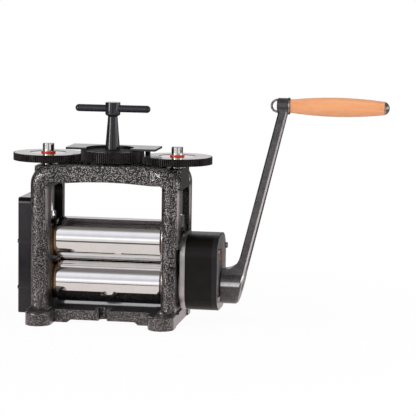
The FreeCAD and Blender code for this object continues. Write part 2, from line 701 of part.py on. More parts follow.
def lower_roll():
    """Hardened lower roll, whose right shaft runs on into the gearbox."""
    seat = GEAR_SEAT_DIAMETER / 2
    points = roll_points(ROLL_SHAFT_END_X, LOWER_JOURNAL_END_X) + [
        (LOWER_JOURNAL_END_X, seat),
        (ROLL_DRIVE_END_X, seat),
        (ROLL_DRIVE_END_X, PILOT_BUSH_RADIUS),
        (PILOT_BUSH_X[0], PILOT_BUSH_RADIUS),
        (PILOT_BUSH_X[0], 0.0),
    ]
    return turned_x(points, LOWER_AXIS_Z).cut(circlip_groove(LOWER_AXIS_Z))


def roll_gear(z, phase):
    """Long-toothed gear that keeps the rolls in step while their gap changes."""
    module = ROLL_GEAR_MODULE
    outline = gear_outline(ROLL_GEAR_TEETH, module, module, 1.25 * module, 0.25, phase, 4)
    return gear_x(outline, GEAR_SEAT_DIAMETER / 2, ROLL_GEAR_FAR_X, ROLL_GEAR_NEAR_X, z)


def circlip(z):
    """Open retaining ring in the groove outside a roll gear."""
    x1 = ROLL_GEAR_FAR_X
    x0 = x1 - CIRCLIP_THICKNESS
    ring = rod_x(CIRCLIP_RADIUS, x0, x1, 0, z)
    ring = ring.cut(rod_x(GEAR_SEAT_DIAMETER / 2 - 1.0, x0 - 1, x1 + 1, 0, z))
    return ring.cut(box(x0 - 1, x1 + 1, -3, 3, z - 30, z))


# ---- gear cover --------------------------------------------------------------------------------------------
def cover_screw_places():
    """Places (y, z) of the cover screws."""
    return [(side * COVER_SCREW_Y, z) for side in (-1, 1) for z in COVER_SCREW_Z]


def gear_cover():
    """Box-shaped cover over the roll gears, open towards the cheek."""
    outer = box(
        COVER_LEFT_X, -CHEEK_OUTER_X, -COVER_HALF_WIDTH, COVER_HALF_WIDTH, COVER_BOTTOM_Z, COVER_TOP_Z
    )
    edges = [e for e in outer.Edges if e.BoundBox.XMax < -CHEEK_OUTER_X - 0.01 or e.BoundBox.XLength > 10]
    outer = outer.makeFillet(COVER_EDGE_RADIUS, edges)
    inner_half = COVER_HALF_WIDTH - COVER_WALL
    inside = box(
        COVER_LEFT_X + COVER_FACE,
        -CHEEK_OUTER_X + 1,
        -inner_half,
        inner_half,
        COVER_BOTTOM_Z + 3,
        COVER_TOP_Z - 3,
    )
    cover = outer.cut(inside)
    for y, z in cover_screw_places():
        cover = cover.cut(rod_x(COVER_SCREW_RADIUS, COVER_LEFT_X - 1, -CHEEK_OUTER_X + 1, y, z))
    return cover


def gear_cover_screws():
    """Button-head screws that hold the gear cover on the left cheek."""
    screws = []
    for y, z in cover_screw_places():
        head_x = COVER_LEFT_X - COVER_SCREW_HEAD_HEIGHT
        head = turned_x(
            [
                (COVER_LEFT_X, 0.0),
                (COVER_LEFT_X, COVER_SCREW_HEAD_RADIUS),
                (COVER_LEFT_X - 0.8, COVER_SCREW_HEAD_RADIUS * 0.93),
                (head_x + 0.3, COVER_SCREW_HEAD_RADIUS * 0.7),
                (head_x, COVER_SCREW_HEAD_RADIUS * 0.4),
                (head_x, 0.0),
            ],
            z,
        )
        head.translate(V(0, y, 0))
        shank = rod_x(COVER_SCREW_RADIUS, COVER_LEFT_X, COVER_SCREW_END_X, y, z)
        screw = head.fuse(shank).removeSplitter()
        screws.append(screw.cut(hexagon_x(COVER_SCREW_SOCKET, head_x - 1, head_x + 1, y, z)))
    return Part.makeCompound(screws)


# ---- screw-down --------------------------------------------------------------------------------------------
def pressure_foot(side):
    """Polished foot that carries a screw's thrust to the upper block."""
    radius = FOOT_DIAMETER / 2
    socket = SCREW_DIAMETER / 2 + RUNNING_CLEARANCE
    points = [
        (0.0, UPPER_BLOCK_TOP_Z),
        (radius - 0.8, UPPER_BLOCK_TOP_Z),
        (radius, UPPER_BLOCK_TOP_Z + 0.8),
        (radius, FOOT_TOP_Z - 0.8),
        (radius - 0.8, FOOT_TOP_Z),
        (socket, FOOT_TOP_Z),
        (socket, FOOT_SOCKET_Z),
        (0.0, FOOT_SOCKET_Z),
    ]
    return turned_z(points, side * SCREW_X)


def adjusting_screw(side):
    """Screw with its polished top pin."""
    radius = SCREW_DIAMETER / 2
    pin = PIN_DIAMETER / 2
    points = [
        (0.0, SCREW_FOOT_Z),
        (radius - 1.0, SCREW_FOOT_Z),
        (radius, SCREW_FOOT_Z + 1.0),
        (radius, DIAL_TOP_Z - DIAL_RECESS_DEPTH),
        (pin, DIAL_TOP_Z - DIAL_RECESS_DEPTH),
        (pin, PIN_TOP_Z - 0.8),
        (pin - 0.8, PIN_TOP_Z),
        (0.0, PIN_TOP_Z),
    ]
    return turned_z(points, side * SCREW_X)


def dial_gear(side):
    """Toothed dial on top of one screw, with a shallow turned recess."""
    outline = gear_outline(DIAL_TEETH, DIAL_MODULE, 0.95, 1.2, 0.09, math.pi / DIAL_TEETH, 2)
    x = side * SCREW_X
    dial = gear_z(outline, SCREW_DIAMETER / 2, DIAL_BOTTOM_Z, DIAL_TOP_Z, x)
    recess = rod_z(DIAL_RECESS_RADIUS, DIAL_TOP_Z - DIAL_RECESS_DEPTH, DIAL_TOP_Z + 1, x, 0)
    return dial.cut(recess)


def dial_hub(side):
    """Clamping hub under a dial."""
    radius = DIAL_HUB_DIAMETER / 2
    points = [
        (SCREW_DIAMETER / 2, DIAL_HUB_BOTTOM_Z),
        (radius - 0.7, DIAL_HUB_BOTTOM_Z),
        (radius, DIAL_HUB_BOTTOM_Z + 0.7),
        (radius, DIAL_BOTTOM_Z),
        (SCREW_DIAMETER / 2, DIAL_BOTTOM_Z),
    ]
    return turned_z(points, side * SCREW_X)


def index_ring(side):
    """Coloured ring round the foot of a pin."""
    low = DIAL_TOP_Z - DIAL_RECESS_DEPTH
    pin = PIN_DIAMETER / 2
    points = [
        (pin, low),
        (RING_OUTER_RADIUS - 0.5, low),
        (RING_OUTER_RADIUS, low + 0.6),
        (RING_OUTER_RADIUS, low + RING_HEIGHT),
        (RING_OUTER_RADIUS - 0.6, low + RING_HEIGHT + 0.5),
        (pin, low + RING_HEIGHT + 0.5),
    ]
    return turned_z(points, side * SCREW_X)


def pivot_post():
    """Fixed post in the deck, on whose stud the centre gear and tee handle turn."""
    stud = POST_STUD_DIAMETER / 2
    points = [
        (0.0, POST_ROOT_Z),
        (stud, POST_ROOT_Z),
        (stud, DECK_TOP_Z),
        (POST_FLANGE_RADIUS, DECK_TOP_Z),
        (POST_FLANGE_RADIUS, POST_FLANGE_TOP_Z),
        (stud, POST_FLANGE_TOP_Z),
        (stud, POST_STUD_TOP_Z - 1.0),
        (stud - 1.0, POST_STUD_TOP_Z),
        (0.0, POST_STUD_TOP_Z),
    ]
    return turned_z(points)


def thrust_washer():
    """Bronze washer between the post and the centre gear."""
    inner = POST_STUD_DIAMETER / 2
    high = CENTRE_GEAR_BOTTOM_Z - 0.1
    points = [
        (inner, POST_FLANGE_TOP_Z),
        (POST_FLANGE_RADIUS, POST_FLANGE_TOP_Z),
        (POST_FLANGE_RADIUS, high),
        (inner, high),
    ]
    return turned_z(points)


def centre_gear():
    """Centre gear that drives both dials."""
    outline = gear_outline(CENTRE_TEETH, DIAL_MODULE, 0.95, 1.2, 0.09, 0.0, 2)
    return gear_z(outline, STEM_SPIGOT_RADIUS, CENTRE_GEAR_BOTTOM_Z, CENTRE_GEAR_TOP_Z, 0.0)


def tee_stem():
    """Tapered stem of the tee handle, bored to turn on the post."""
    bore = POST_STUD_DIAMETER / 2 + RUNNING_CLEARANCE
    bore_top = POST_STUD_TOP_Z + 1.0
    points = [
        (bore, CENTRE_GEAR_BOTTOM_Z),
        (STEM_SPIGOT_RADIUS, CENTRE_GEAR_BOTTOM_Z),
        (STEM_SPIGOT_RADIUS, CENTRE_GEAR_TOP_Z),
        (STEM_BASE_RADIUS, CENTRE_GEAR_TOP_Z),
        (STEM_NECK_RADIUS, STEM_NECK_Z),
        (TEE_HUB_RADIUS, TEE_HUB_BOTTOM_Z),
        (TEE_HUB_RADIUS, TEE_HUB_TOP_Z - 0.6),
        (TEE_HUB_RADIUS - 0.6, TEE_HUB_TOP_Z),
        (0.0, TEE_HUB_TOP_Z),
        (0.0, bore_top),
        (bore, bore_top),
    ]
    return turned_z(points).cut(rod_x(TEE_BAR_RADIUS, -20, 20, 0, TEE_BAR_Z))


def tee_bar():
    """Cross bar of the tee handle, with rounded ends."""
    straight = TEE_BAR_HALF_LENGTH - TEE_BAR_RADIUS
    bar = rod_x(TEE_BAR_RADIUS, -straight, straight, 0, TEE_BAR_Z)
    ends = [Part.makeSphere(TEE_BAR_RADIUS, V(x, 0, TEE_BAR_Z)) for x in (-straight, straight)]
    return fuse_all([bar] + ends)


# ---- guard plate -------------------------------------------------------------------------------------------
def guard_plate():
    """Flat plate over the back of the screw-down gears, cut out round the stem."""
    top = PLATE_BOTTOM_Z + PLATE_THICKNESS
    plate = box(-PLATE_HALF_LENGTH, PLATE_HALF_LENGTH, PLATE_FRONT_Y, PLATE_BACK_Y, PLATE_BOTTOM_Z, top)
    edges = [e for e in plate.Edges if e.BoundBox.ZLength > 1]
    plate = plate.makeFillet(1.0, edges)
    cutout = rod_z(PLATE_NOTCH_RADIUS, PLATE_BOTTOM_Z - 1, top + 1, PLATE_NOTCH_X, PLATE_NOTCH_Y)
    plate = plate.cut(cutout)
    for x in (-STANDOFF_X, STANDOFF_X):
        plate = plate.cut(plate_screw(x))
    return plate


def plate_screw(x):
    """Countersunk screw that holds the guard plate on a stand-off."""
    top = PLATE_BOTTOM_Z + PLATE_THICKNESS
    sink = PLATE_SCREW_HEAD_RADIUS - STANDOFF_TAP_RADIUS
    head = Part.makeCone(STANDOFF_TAP_RADIUS, PLATE_SCREW_HEAD_RADIUS, sink, V(x, STANDOFF_Y, top - sink))
    shank = rod_z(STANDOFF_TAP_RADIUS, top - PLATE_SCREW_LENGTH, top - sink, x, STANDOFF_Y)
    return head.fuse(shank).removeSplitter()


def guard_plate_screws():
    """Both guard-plate screws, each with a hexagon socket."""
    floor = PLATE_BOTTOM_Z + PLATE_THICKNESS - PLATE_SCREW_SOCKET_DEPTH
    screws = []
    for x in (-STANDOFF_X, STANDOFF_X):
        corner = V(PLATE_SCREW_SOCKET_RADIUS, 0, 0)
        points = []
        for k in range(7):
            turn = FreeCAD.Rotation(V(0, 0, 1), 60 * k)
            points.append(V(x, STANDOFF_Y, floor) + turn.multVec(corner))
        socket = Part.Face(Part.makePolygon(points)).extrude(V(0, 0, 2 * PLATE_SCREW_SOCKET_DEPTH))
        screws.append(plate_screw(x).cut(socket))
    return Part.makeCompound(screws)


def standoff_stud(x):
    """Stud of one stand-off, let into its boss on the casting."""
    return rod_z(STANDOFF_STUD_RADIUS, FRAME_TOP_Z - STANDOFF_STUD_LENGTH, FRAME_TOP_Z, x, STANDOFF_Y)


def guard_plate_standoffs():
    """Two pillars that carry the guard plate, each with a stud in the casting."""
    pillars = []
    for x in (-STANDOFF_X, STANDOFF_X):
        pillar = rod_z(STANDOFF_RADIUS, FRAME_TOP_Z, PLATE_BOTTOM_Z, x, STANDOFF_Y)
        pillar = pillar.fuse(standoff_stud(x)).removeSplitter()
        low = PLATE_BOTTOM_Z + PLATE_THICKNESS - PLATE_SCREW_LENGTH
        pillars.append(pillar.cut(rod_z(STANDOFF_TAP_RADIUS, low, PLATE_BOTTOM_Z + 1, x, STANDOFF_Y)))
    return Part.makeCompound(pillars)


# ---- gearbox -----------------------------------------------------------------------------------------------
def box_outline(x0, x1, inset):
    """Rounded block of the gearbox's outline, drawn in by inset."""
    return rounded_block_x(
        x0,
        x1,
        BOX_HALF_WIDTH - inset,
        BOX_BOTTOM_Z + inset,
        BOX_TOP_Z - inset,
        BOX_CORNER_RADIUS - inset,
    )


def plate_fixing(y, z):
    """Countersunk screw that holds the mounting plate."""
    seat_x = PLATE_OUTER_X - PLATE_FIXING_SINK
    head_radius = PLATE_FIXING_RADIUS + PLATE_FIXING_SINK
    head = cone_x(PLATE_FIXING_RADIUS, head_radius, seat_x, PLATE_OUTER_X, y, z)
    shank = rod_x(PLATE_FIXING_RADIUS, PLATE_FIXING_START_X, seat_x, y, z)
    return head.fuse(shank).removeSplitter()


def gearbox_mounting_plate():
    """Plate that carries the gearbox on the right cheek, with a round pad against the machined face."""
    plate = box_outline(PLATE_INNER_X, PLATE_OUTER_X, 0)
    plate = plate.fuse(rod_x(PLATE_PAD_RADIUS, MACHINED_FACE_X, PLATE_INNER_X, 0, LOWER_AXIS_Z))
    plate = plate.removeSplitter()
    cuts = [
        rod_x(JOURNAL_DIAMETER / 2 + 1.0, MACHINED_FACE_X - 1, MACHINED_FACE_X + 2, 0, LOWER_AXIS_Z),
        rod_x(GEAR_SEAT_DIAMETER / 2 + 0.5, MACHINED_FACE_X - 1, PLATE_OUTER_X + 1, 0, LOWER_AXIS_Z),
        rod_x(LAYSHAFT_BUSH_RADIUS, LAYSHAFT_BUSH_INNER_X[0], PLATE_OUTER_X + 1, 0, LAYSHAFT_Z),
    ]
    for y, z in BOX_SCREWS:
        cuts.append(rod_x(BOX_SCREW_RADIUS, PLATE_INNER_X + 1.5, PLATE_OUTER_X + 1, y, z))
    for y, z in PLATE_FRAME_SCREWS + PLATE_BLOCK_SCREWS:
        cuts.append(plate_fixing(y, z))
    for cut in cuts:
        plate = plate.cut(cut)
    return plate


def mounting_plate_screws():
    """Countersunk screws of the mounting plate, two in the frame and two in the lower block."""
    screws = []
    for y, z in PLATE_FRAME_SCREWS + PLATE_BLOCK_SCREWS:
        socket_x = PLATE_OUTER_X - PLATE_FIXING_SOCKET_DEPTH
        socket = hexagon_x(PLATE_FIXING_SOCKET, socket_x, PLATE_OUTER_X + 1, y, z)
        screws.append(plate_fixing(y, z).cut(socket))
    return Part.makeCompound(screws)


def gearbox_housing():
    """Housing ring round the reduction gears, with bosses for the long screws."""
    ring = box_outline(PLATE_OUTER_X, HOUSING_END_X, 0).cut(
        box_outline(PLATE_OUTER_X - 1, HOUSING_END_X + 1, BOX_WALL)
    )
    for y, z in BOX_SCREWS:
        ring = ring.fuse(rod_x(BOX_SCREW_BOSS_RADIUS, PLATE_OUTER_X, HOUSING_END_X, y, z))
        y0, y1 = sorted((y, math.copysign(BOX_HALF_WIDTH - BOX_WALL / 2, y)))
        ring = ring.fuse(box(PLATE_OUTER_X, HOUSING_END_X, y0, y1, z - 2.5, z + 2.5))
    ring = ring.removeSplitter()
    for y, z in BOX_SCREWS:
        ring = ring.cut(rod_x(BOX_SCREW_RADIUS, PLATE_OUTER_X - 1, HOUSING_END_X + 1, y, z))
    return ring


def gearbox_end_cover():
    """End cover with seats for the crank-shaft bush and the layshaft bush."""
    cover = box_outline(HOUSING_END_X, COVER_END_X, 0)
    rim = [e for e in cover.Edges if e.BoundBox.XMin > COVER_END_X - 0.01]
    cover = cover.makeChamfer(0.8, rim)
    cuts = [
        rod_x(CRANK_BUSH_RADIUS, HOUSING_END_X - 1, COVER_END_X + 1, 0, LOWER_AXIS_Z),
        rod_x(LAYSHAFT_BUSH_RADIUS, HOUSING_END_X - 1, COVER_END_X + 1, 0, LAYSHAFT_Z),
    ]
    for y, z in BOX_SCREWS:
        cuts.append(rod_x(BOX_SCREW_RADIUS, HOUSING_END_X - 1, COVER_END_X + 1, y, z))
    for cut in cuts:
        cover = cover.cut(cut)
    return cover


def gearbox_screws():
    """Long socket-head screws through the end cover and housing into the mounting plate."""
    screws = []
    end = COVER_END_X + BOX_SCREW_HEAD_HEIGHT
    for y, z in BOX_SCREWS:
        head = turned_x(
            [
                (COVER_END_X, 0.0),
                (COVER_END_X, BOX_SCREW_HEAD_RADIUS),
                (end - 0.6, BOX_SCREW_HEAD_RADIUS),
                (end, BOX_SCREW_HEAD_RADIUS - 0.6),
                (end, 0.0),
            ],
            z,
        )
        head.translate(V(0, y, 0))
        shank = rod_x(BOX_SCREW_RADIUS, PLATE_INNER_X + 1.5, COVER_END_X, y, z)
        screw = head.fuse(shank).removeSplitter()
        screws.append(screw.cut(hexagon_x(BOX_SCREW_SOCKET, end - BOX_SCREW_SOCKET_DEPTH, end + 1, y, z)))
    return Part.makeCompound(screws)


def plain_bush(span, outer, bore, z):
    """Plain bronze bush along X, from span[0] to span[1]."""
    return rod_x(outer, span[0], span[1], 0, z).cut(rod_x(bore, span[0] - 1, span[1] + 1, 0, z))


def layshaft():
    """Layshaft that carries the first wheel and the second pinion."""
    points = [
        (LAYSHAFT_START_X, 0.0),
        (LAYSHAFT_START_X, LAYSHAFT_RADIUS),
        (LAYSHAFT_END_X - 0.8, LAYSHAFT_RADIUS),
        (LAYSHAFT_END_X, LAYSHAFT_RADIUS - 0.8),
        (LAYSHAFT_END_X, 0.0),
    ]
    return turned_x(points, LAYSHAFT_Z)


def train_gear(teeth, bore, span, z, tooth_up):
    """Gear of the reduction train; its top or bottom holds a tooth or a space, to mesh at rest."""
    phase = math.pi / 2 if tooth_up else -math.pi / 2 + math.pi / teeth
    module = TRAIN_MODULE
    outline = gear_outline(teeth, module, 0.95 * module, 1.25 * module, 0.12, phase, 4)
    return gear_x(outline, bore, span[0], span[1], z)


def crank_shaft():
    """Crank shaft with a pilot spigot that runs inside the end of the lower roll."""
    points = [
        (PILOT_BUSH_X[0] + 1.0, 0.0),
        (PILOT_BUSH_X[0] + 1.0, PILOT_RADIUS),
        (CRANK_PINION_X[0] - 2.0, PILOT_RADIUS),
        (CRANK_PINION_X[0] - 2.0, CRANK_SEAT_RADIUS),
        (CRANK_PINION_X[1], CRANK_SEAT_RADIUS),
        (CRANK_PINION_X[1], CRANK_SHAFT_RADIUS),
        (CRANK_SHAFT_END_X, CRANK_SHAFT_RADIUS),
        (CRANK_SHAFT_END_X, RETAINING_SCREW_RADIUS),
        (CRANK_SHAFT_END_X - RETAINING_THREAD_DEPTH, RETAINING_SCREW_RADIUS),
        (CRANK_SHAFT_END_X - RETAINING_THREAD_DEPTH, 0.0),
    ]
    return turned_x(points, LOWER_AXIS_Z)


# ---- crank -------------------------------------------------------------------------------------------------
def arm_face(z):
    """X of the arm's outer face at a height: one sloping plane from the hub to the eye."""
    return ARM_FACE_X + ARM_LEAN * (z - LOWER_AXIS_Z)


def arm_section(z, half_width):
    """Horizontal section of the arm: a rectangle with bevelled corners."""
    x1 = arm_face(z)
    x0 = x1 - ARM_THICKNESS
    c = ARM_CHAMFER
    w = half_width
    points = [
        V(x0 + c, -w, z),
        V(x1 - c, -w, z),
        V(x1, -w + c, z),
        V(x1, w - c, z),
        V(x1 - c, w, z),
        V(x0 + c, w, z),
        V(x0, w - c, z),
        V(x0, -w + c, z),
    ]
    return Part.makePolygon(points + [points[0]])


def flank_section(z, half_width):
    """Horizontal section of all the room between the arm's two flanks."""
    points = [
        V(HUB_NEAR_X, -half_width, z),
        V(EYE_FAR_X, -half_width, z),
        V(EYE_FAR_X, half_width, z),
        V(HUB_NEAR_X, half_width, z),
    ]
    return Part.makePolygon(points + [points[0]])


def arm_gusset():
    """Large inside radius between the hub's top and the arm, flush with the arm's flanks."""
    corner_z = LOWER_AXIS_Z + HUB_RADIUS - 1.0
    corner_x = arm_face(corner_z) - ARM_THICKNESS
    lean = math.atan(ARM_LEAN)
    opening = math.pi / 2 + lean
    reach = ARM_FILLET_RADIUS / math.tan(opening / 2)
    start = V(corner_x - reach, 0, corner_z)
    end = V(corner_x + reach * math.sin(lean), 0, corner_z + reach * math.cos(lean))
    centre = V(corner_x - reach, 0, corner_z + ARM_FILLET_RADIUS)
    towards = (start - centre) + (end - centre)
    towards.normalize()
    middle = centre + towards * ARM_FILLET_RADIUS
    low = LOWER_AXIS_Z
    edges = [
        Part.Arc(start, middle, end).toShape(),
        Part.LineSegment(end, V(end.x + 6, 0, end.z)).toShape(),
        Part.LineSegment(V(end.x + 6, 0, end.z), V(corner_x + 6, 0, low)).toShape(),
        Part.LineSegment(V(corner_x + 6, 0, low), V(start.x, 0, low)).toShape(),
        Part.LineSegment(V(start.x, 0, low), start).toShape(),
    ]
    wire = Part.Wire(edges)
    wire.translate(V(0, -HUB_RADIUS, 0))
    web = Part.Face(wire).extrude(V(0, 2 * HUB_RADIUS, 0))
    flanks = [flank_section(LOWER_AXIS_Z, ARM_HALF_WIDTH_HUB), flank_section(EYE_Z, ARM_HALF_WIDTH_EYE)]
    return web.common(Part.makeLoft(flanks, True, True))


def crank_arm():
    """Cast crank: round hub, leaning arm and eye."""
    far_x = arm_face(LOWER_AXIS_Z + HUB_RADIUS) + 5
    hub = rod_x(HUB_RADIUS, HUB_NEAR_X, far_x, 0, LOWER_AXIS_Z)
    near_rim = [e for e in hub.Edges if e.BoundBox.XMax < HUB_NEAR_X + 0.01]
    hub = hub.makeChamfer(HUB_NEAR_CHAMFER, near_rim)
    low = LOWER_AXIS_Z - HUB_RADIUS - 1
    high = LOWER_AXIS_Z + HUB_RADIUS + 1
    wedge = [
        V(arm_face(low), -40, low),
        V(arm_face(high), -40, high),
        V(far_x + 20, -40, high),
        V(far_x + 20, -40, low),
    ]
    beyond = Part.Face(Part.makePolygon(wedge + [wedge[0]])).extrude(V(0, 80, 0))
    hub = hub.cut(beyond)
    slope = [e for e in hub.Edges if e.BoundBox.XMin > HUB_NEAR_X + 10 and e.BoundBox.YLength > 20]
    hub = hub.makeChamfer(HUB_SLOPE_CHAMFER, slope)
    arm = Part.makeLoft(
        [arm_section(LOWER_AXIS_Z, ARM_HALF_WIDTH_HUB), arm_section(EYE_Z, ARM_HALF_WIDTH_EYE)], True, True
    )
    eye = turned_x(
        [
            (EYE_NEAR_X, 0.0),
            (EYE_NEAR_X, EYE_RADIUS - 1.2),
            (EYE_NEAR_X + 1.2, EYE_RADIUS),
            (EYE_FAR_X - 3.4, EYE_RADIUS),
            (EYE_FAR_X - 2.8, EYE_RIM_RADIUS),
            (EYE_FAR_X - 0.8, EYE_RIM_RADIUS),
            (EYE_FAR_X, EYE_RIM_RADIUS - 0.8),
            (EYE_FAR_X, 0.0),
        ],
        EYE_Z,
    )
    crank = fuse_all([hub, arm_gusset(), arm, eye])
    head_seat = arm_face(LOWER_AXIS_Z) - RETAINING_HEAD_SINK
    cuts = [
        rod_x(CRANK_SHAFT_RADIUS, HUB_NEAR_X - 1, CRANK_SHAFT_END_X, 0, LOWER_AXIS_Z),
        rod_x(RETAINING_SCREW_RADIUS, CRANK_SHAFT_END_X - 1, far_x, 0, LOWER_AXIS_Z),
        rod_x(RETAINING_HEAD_RADIUS, head_seat, far_x + 5, 0, LOWER_AXIS_Z),
        rod_x(SPINDLE_RADIUS, EYE_NEAR_X - 5, EYE_FAR_X + 1, 0, EYE_Z),
        clip_hoop(),
    ]
    for cut in cuts:
        crank = crank.cut(cut)
    return crank


def clip_hoop():
    """Bent wire clip at the inner end of the grip spindle, its two legs let into the eye."""
    top = V(EYE_NEAR_X, 0, EYE_Z + HOOP_RADIUS)
    section = Part.Face(Part.Wire(Part.makeCircle(HOOP_WIRE_RADIUS, top, V(1, 0, 0))))
    pieces = [section.revolve(V(EYE_NEAR_X, 0, EYE_Z), V(0, -1, 0), 180)]
    for side in (-1, 1):
        leg_z = EYE_Z + side * HOOP_RADIUS
        pieces.append(rod_x(HOOP_WIRE_RADIUS, EYE_NEAR_X, EYE_NEAR_X + HOOP_LEG_LENGTH, 0, leg_z))
    return fuse_all(pieces)


def crank_retaining_screw():
    """Socket screw that draws the crank onto its shaft."""
    seat = arm_face(LOWER_AXIS_Z) - RETAINING_HEAD_SINK
    end = seat + RETAINING_HEAD_HEIGHT
    points = [
        (CRANK_SHAFT_END_X - RETAINING_THREAD_DEPTH, 0.0),
        (CRANK_SHAFT_END_X - RETAINING_THREAD_DEPTH, RETAINING_SCREW_RADIUS),
        (seat, RETAINING_SCREW_RADIUS),
        (seat, RETAINING_HEAD_RADIUS - 0.6),
        (end, RETAINING_HEAD_RADIUS - 0.6),
        (end, 0.0),
    ]
    socket = hexagon_x(RETAINING_SOCKET, end - RETAINING_SOCKET_DEPTH, end + 1, 0, LOWER_AXIS_Z)
    return turned_x(points, LOWER_AXIS_Z).cut(socket)


def grip_spindle():
    """Spindle through the eye and grip, with a domed head at the far end."""
    shaft = rod_x(SPINDLE_RADIUS, EYE_NEAR_X, GRIP_WASHER_END_X, 0, EYE_Z)
    near_edge = [e for e in shaft.Edges if e.BoundBox.XMax < EYE_NEAR_X + 0.01]
    shaft = shaft.makeChamfer(SPINDLE_CHAMFER, near_edge)
    height = DOME_END_X - GRIP_WASHER_END_X
    curve = (DOME_RADIUS * DOME_RADIUS + height * height) / (2 * height)
    ball = Part.makeSphere(curve, V(DOME_END_X - curve, 0, EYE_Z))
    cap = ball.common(box(GRIP_WASHER_END_X, DOME_END_X + 1, -30, 30, EYE_Z - 30, EYE_Z + 30))
    return fuse_all([shaft, cap])


def grip_washer():
    """Pale washer between the grip and the domed head."""
    points = [
        (GRIP_END_X + 0.3, SPINDLE_RADIUS),
        (GRIP_END_X + 0.3, GRIP_WASHER_RADIUS),
        (GRIP_WASHER_END_X, DOME_RADIUS + 0.2),
        (GRIP_WASHER_END_X, SPINDLE_RADIUS),
    ]
    return turned_x(points, EYE_Z)


def grip():
    """Turned wooden grip that spins on its spindle."""
    bore = SPINDLE_RADIUS + RUNNING_CLEARANCE
    start = V(GRIP_START_X, 0, EYE_Z + GRIP_END_RADIUS)
    middle = V((GRIP_START_X + GRIP_END_X) / 2, 0, EYE_Z + GRIP_MIDDLE_RADIUS)
    end = V(GRIP_END_X, 0, EYE_Z + GRIP_END_RADIUS)
    near = V(GRIP_START_X, 0, EYE_Z + bore)
    far = V(GRIP_END_X, 0, EYE_Z + bore)
    edges = [
        Part.Arc(start, middle, end).toShape(),
        Part.LineSegment(end, far).toShape(),
        Part.LineSegment(far, near).toShape(),
        Part.LineSegment(near, start).toShape(),
    ]
    return Part.Face(Part.Wire(edges)).revolve(V(0, 0, EYE_Z), V(1, 0, 0), 360)


# ---- nodes -------------------------------------------------------------------------------------------------
LOWER_ROLL_BORE = GEAR_SEAT_DIAMETER / 2
LAYSHAFT_BORE = LAYSHAFT_RADIUS + RUNNING_CLEARANCE
CRANK_BORE = CRANK_SHAFT_RADIUS + RUNNING_CLEARANCE
PILOT_BORE = PILOT_RADIUS + RUNNING_CLEARANCE
TOOTH_UP = math.pi / 2
SPACE_DOWN = -math.pi / 2 + math.pi / ROLL_GEAR_TEETH


def build_nodes():
    """Every sub-part of the mill, by name."""
    return {
        "frame_casting": frame_casting(),
        "lower_bearing_block_left": lower_bearing_block(-1),
        "lower_bearing_block_right": lower_bearing_block(1),
        "lower_bush_left": flanged_bush(-1, LEFT_BUSH_END_X, LOWER_AXIS_Z),
        "lower_bush_right": flanged_bush(1, LOWER_RIGHT_BUSH_END_X, LOWER_AXIS_Z),
        "lifting_springs": lifting_springs(),
        "gear_cover": gear_cover(),
        "gear_cover_screws": gear_cover_screws(),
        "gearbox_mounting_plate": gearbox_mounting_plate(),
        "mounting_plate_screws": mounting_plate_screws(),
        "gearbox_housing": gearbox_housing(),
        "gearbox_end_cover": gearbox_end_cover(),
        "gearbox_screws": gearbox_screws(),
        "layshaft_bush_inner": plain_bush(
            LAYSHAFT_BUSH_INNER_X, LAYSHAFT_BUSH_RADIUS, LAYSHAFT_BORE, LAYSHAFT_Z
        ),
        "layshaft_bush_outer": plain_bush(
            LAYSHAFT_BUSH_OUTER_X, LAYSHAFT_BUSH_RADIUS, LAYSHAFT_BORE, LAYSHAFT_Z
        ),
        "crank_shaft_bush": plain_bush(CRANK_BUSH_X, CRANK_BUSH_RADIUS, CRANK_BORE, LOWER_AXIS_Z),
        "pivot_post": pivot_post(),
        "thrust_washer": thrust_washer(),
        "guard_plate": guard_plate(),
        "guard_plate_standoffs": guard_plate_standoffs(),
        "guard_plate_screws": guard_plate_screws(),
        "centre_gear": centre_gear(),
        "tee_stem": tee_stem(),
        "tee_bar": tee_bar(),
        "upper_bearing_block_left": upper_bearing_block(-1),
        "upper_bearing_block_right": upper_bearing_block(1),
        "upper_bush_left": flanged_bush(-1, LEFT_BUSH_END_X, UPPER_AXIS_Z),
        "upper_bush_right": flanged_bush(1, UPPER_RIGHT_BUSH_END_X, UPPER_AXIS_Z),
        "pressure_foot_left": pressure_foot(-1),
        "pressure_foot_right": pressure_foot(1),
        "adjusting_screw_left": adjusting_screw(-1),
        "adjusting_screw_right": adjusting_screw(1),
        "dial_gear_left": dial_gear(-1),
        "dial_gear_right": dial_gear(1),
        "dial_hub_left": dial_hub(-1),
        "dial_hub_right": dial_hub(1),
        "index_ring_left": index_ring(-1),
        "index_ring_right": index_ring(1),
        "upper_roll": upper_roll(),
        "upper_roll_gear": roll_gear(UPPER_AXIS_Z, SPACE_DOWN),
        "upper_gear_circlip": circlip(UPPER_AXIS_Z),
        "lower_roll": lower_roll(),
        "lower_roll_gear": roll_gear(LOWER_AXIS_Z, TOOTH_UP),
        "lower_gear_circlip": circlip(LOWER_AXIS_Z),
        "reduction_wheel": train_gear(WHEEL_TEETH, LOWER_ROLL_BORE, ROLL_WHEEL_X, LOWER_AXIS_Z, True),
        "pilot_bush": plain_bush(PILOT_BUSH_X, PILOT_BUSH_RADIUS, PILOT_BORE, LOWER_AXIS_Z),
        "layshaft": layshaft(),
        "layshaft_wheel": train_gear(WHEEL_TEETH, LAYSHAFT_RADIUS, CRANK_PINION_X, LAYSHAFT_Z, False),
        "layshaft_pinion": train_gear(PINION_TEETH, LAYSHAFT_RADIUS, ROLL_WHEEL_X, LAYSHAFT_Z, False),
        "crank_shaft": crank_shaft(),
        "crank_pinion": train_gear(PINION_TEETH, CRANK_SEAT_RADIUS, CRANK_PINION_X, LOWER_AXIS_Z, True),
        "crank_arm": crank_arm(),
        "crank_retaining_screw": crank_retaining_screw(),
        "spindle_clip": clip_hoop(),
        "grip_spindle": grip_spindle(),
        "grip_washer": grip_washer(),
        "grip": grip(),
    }


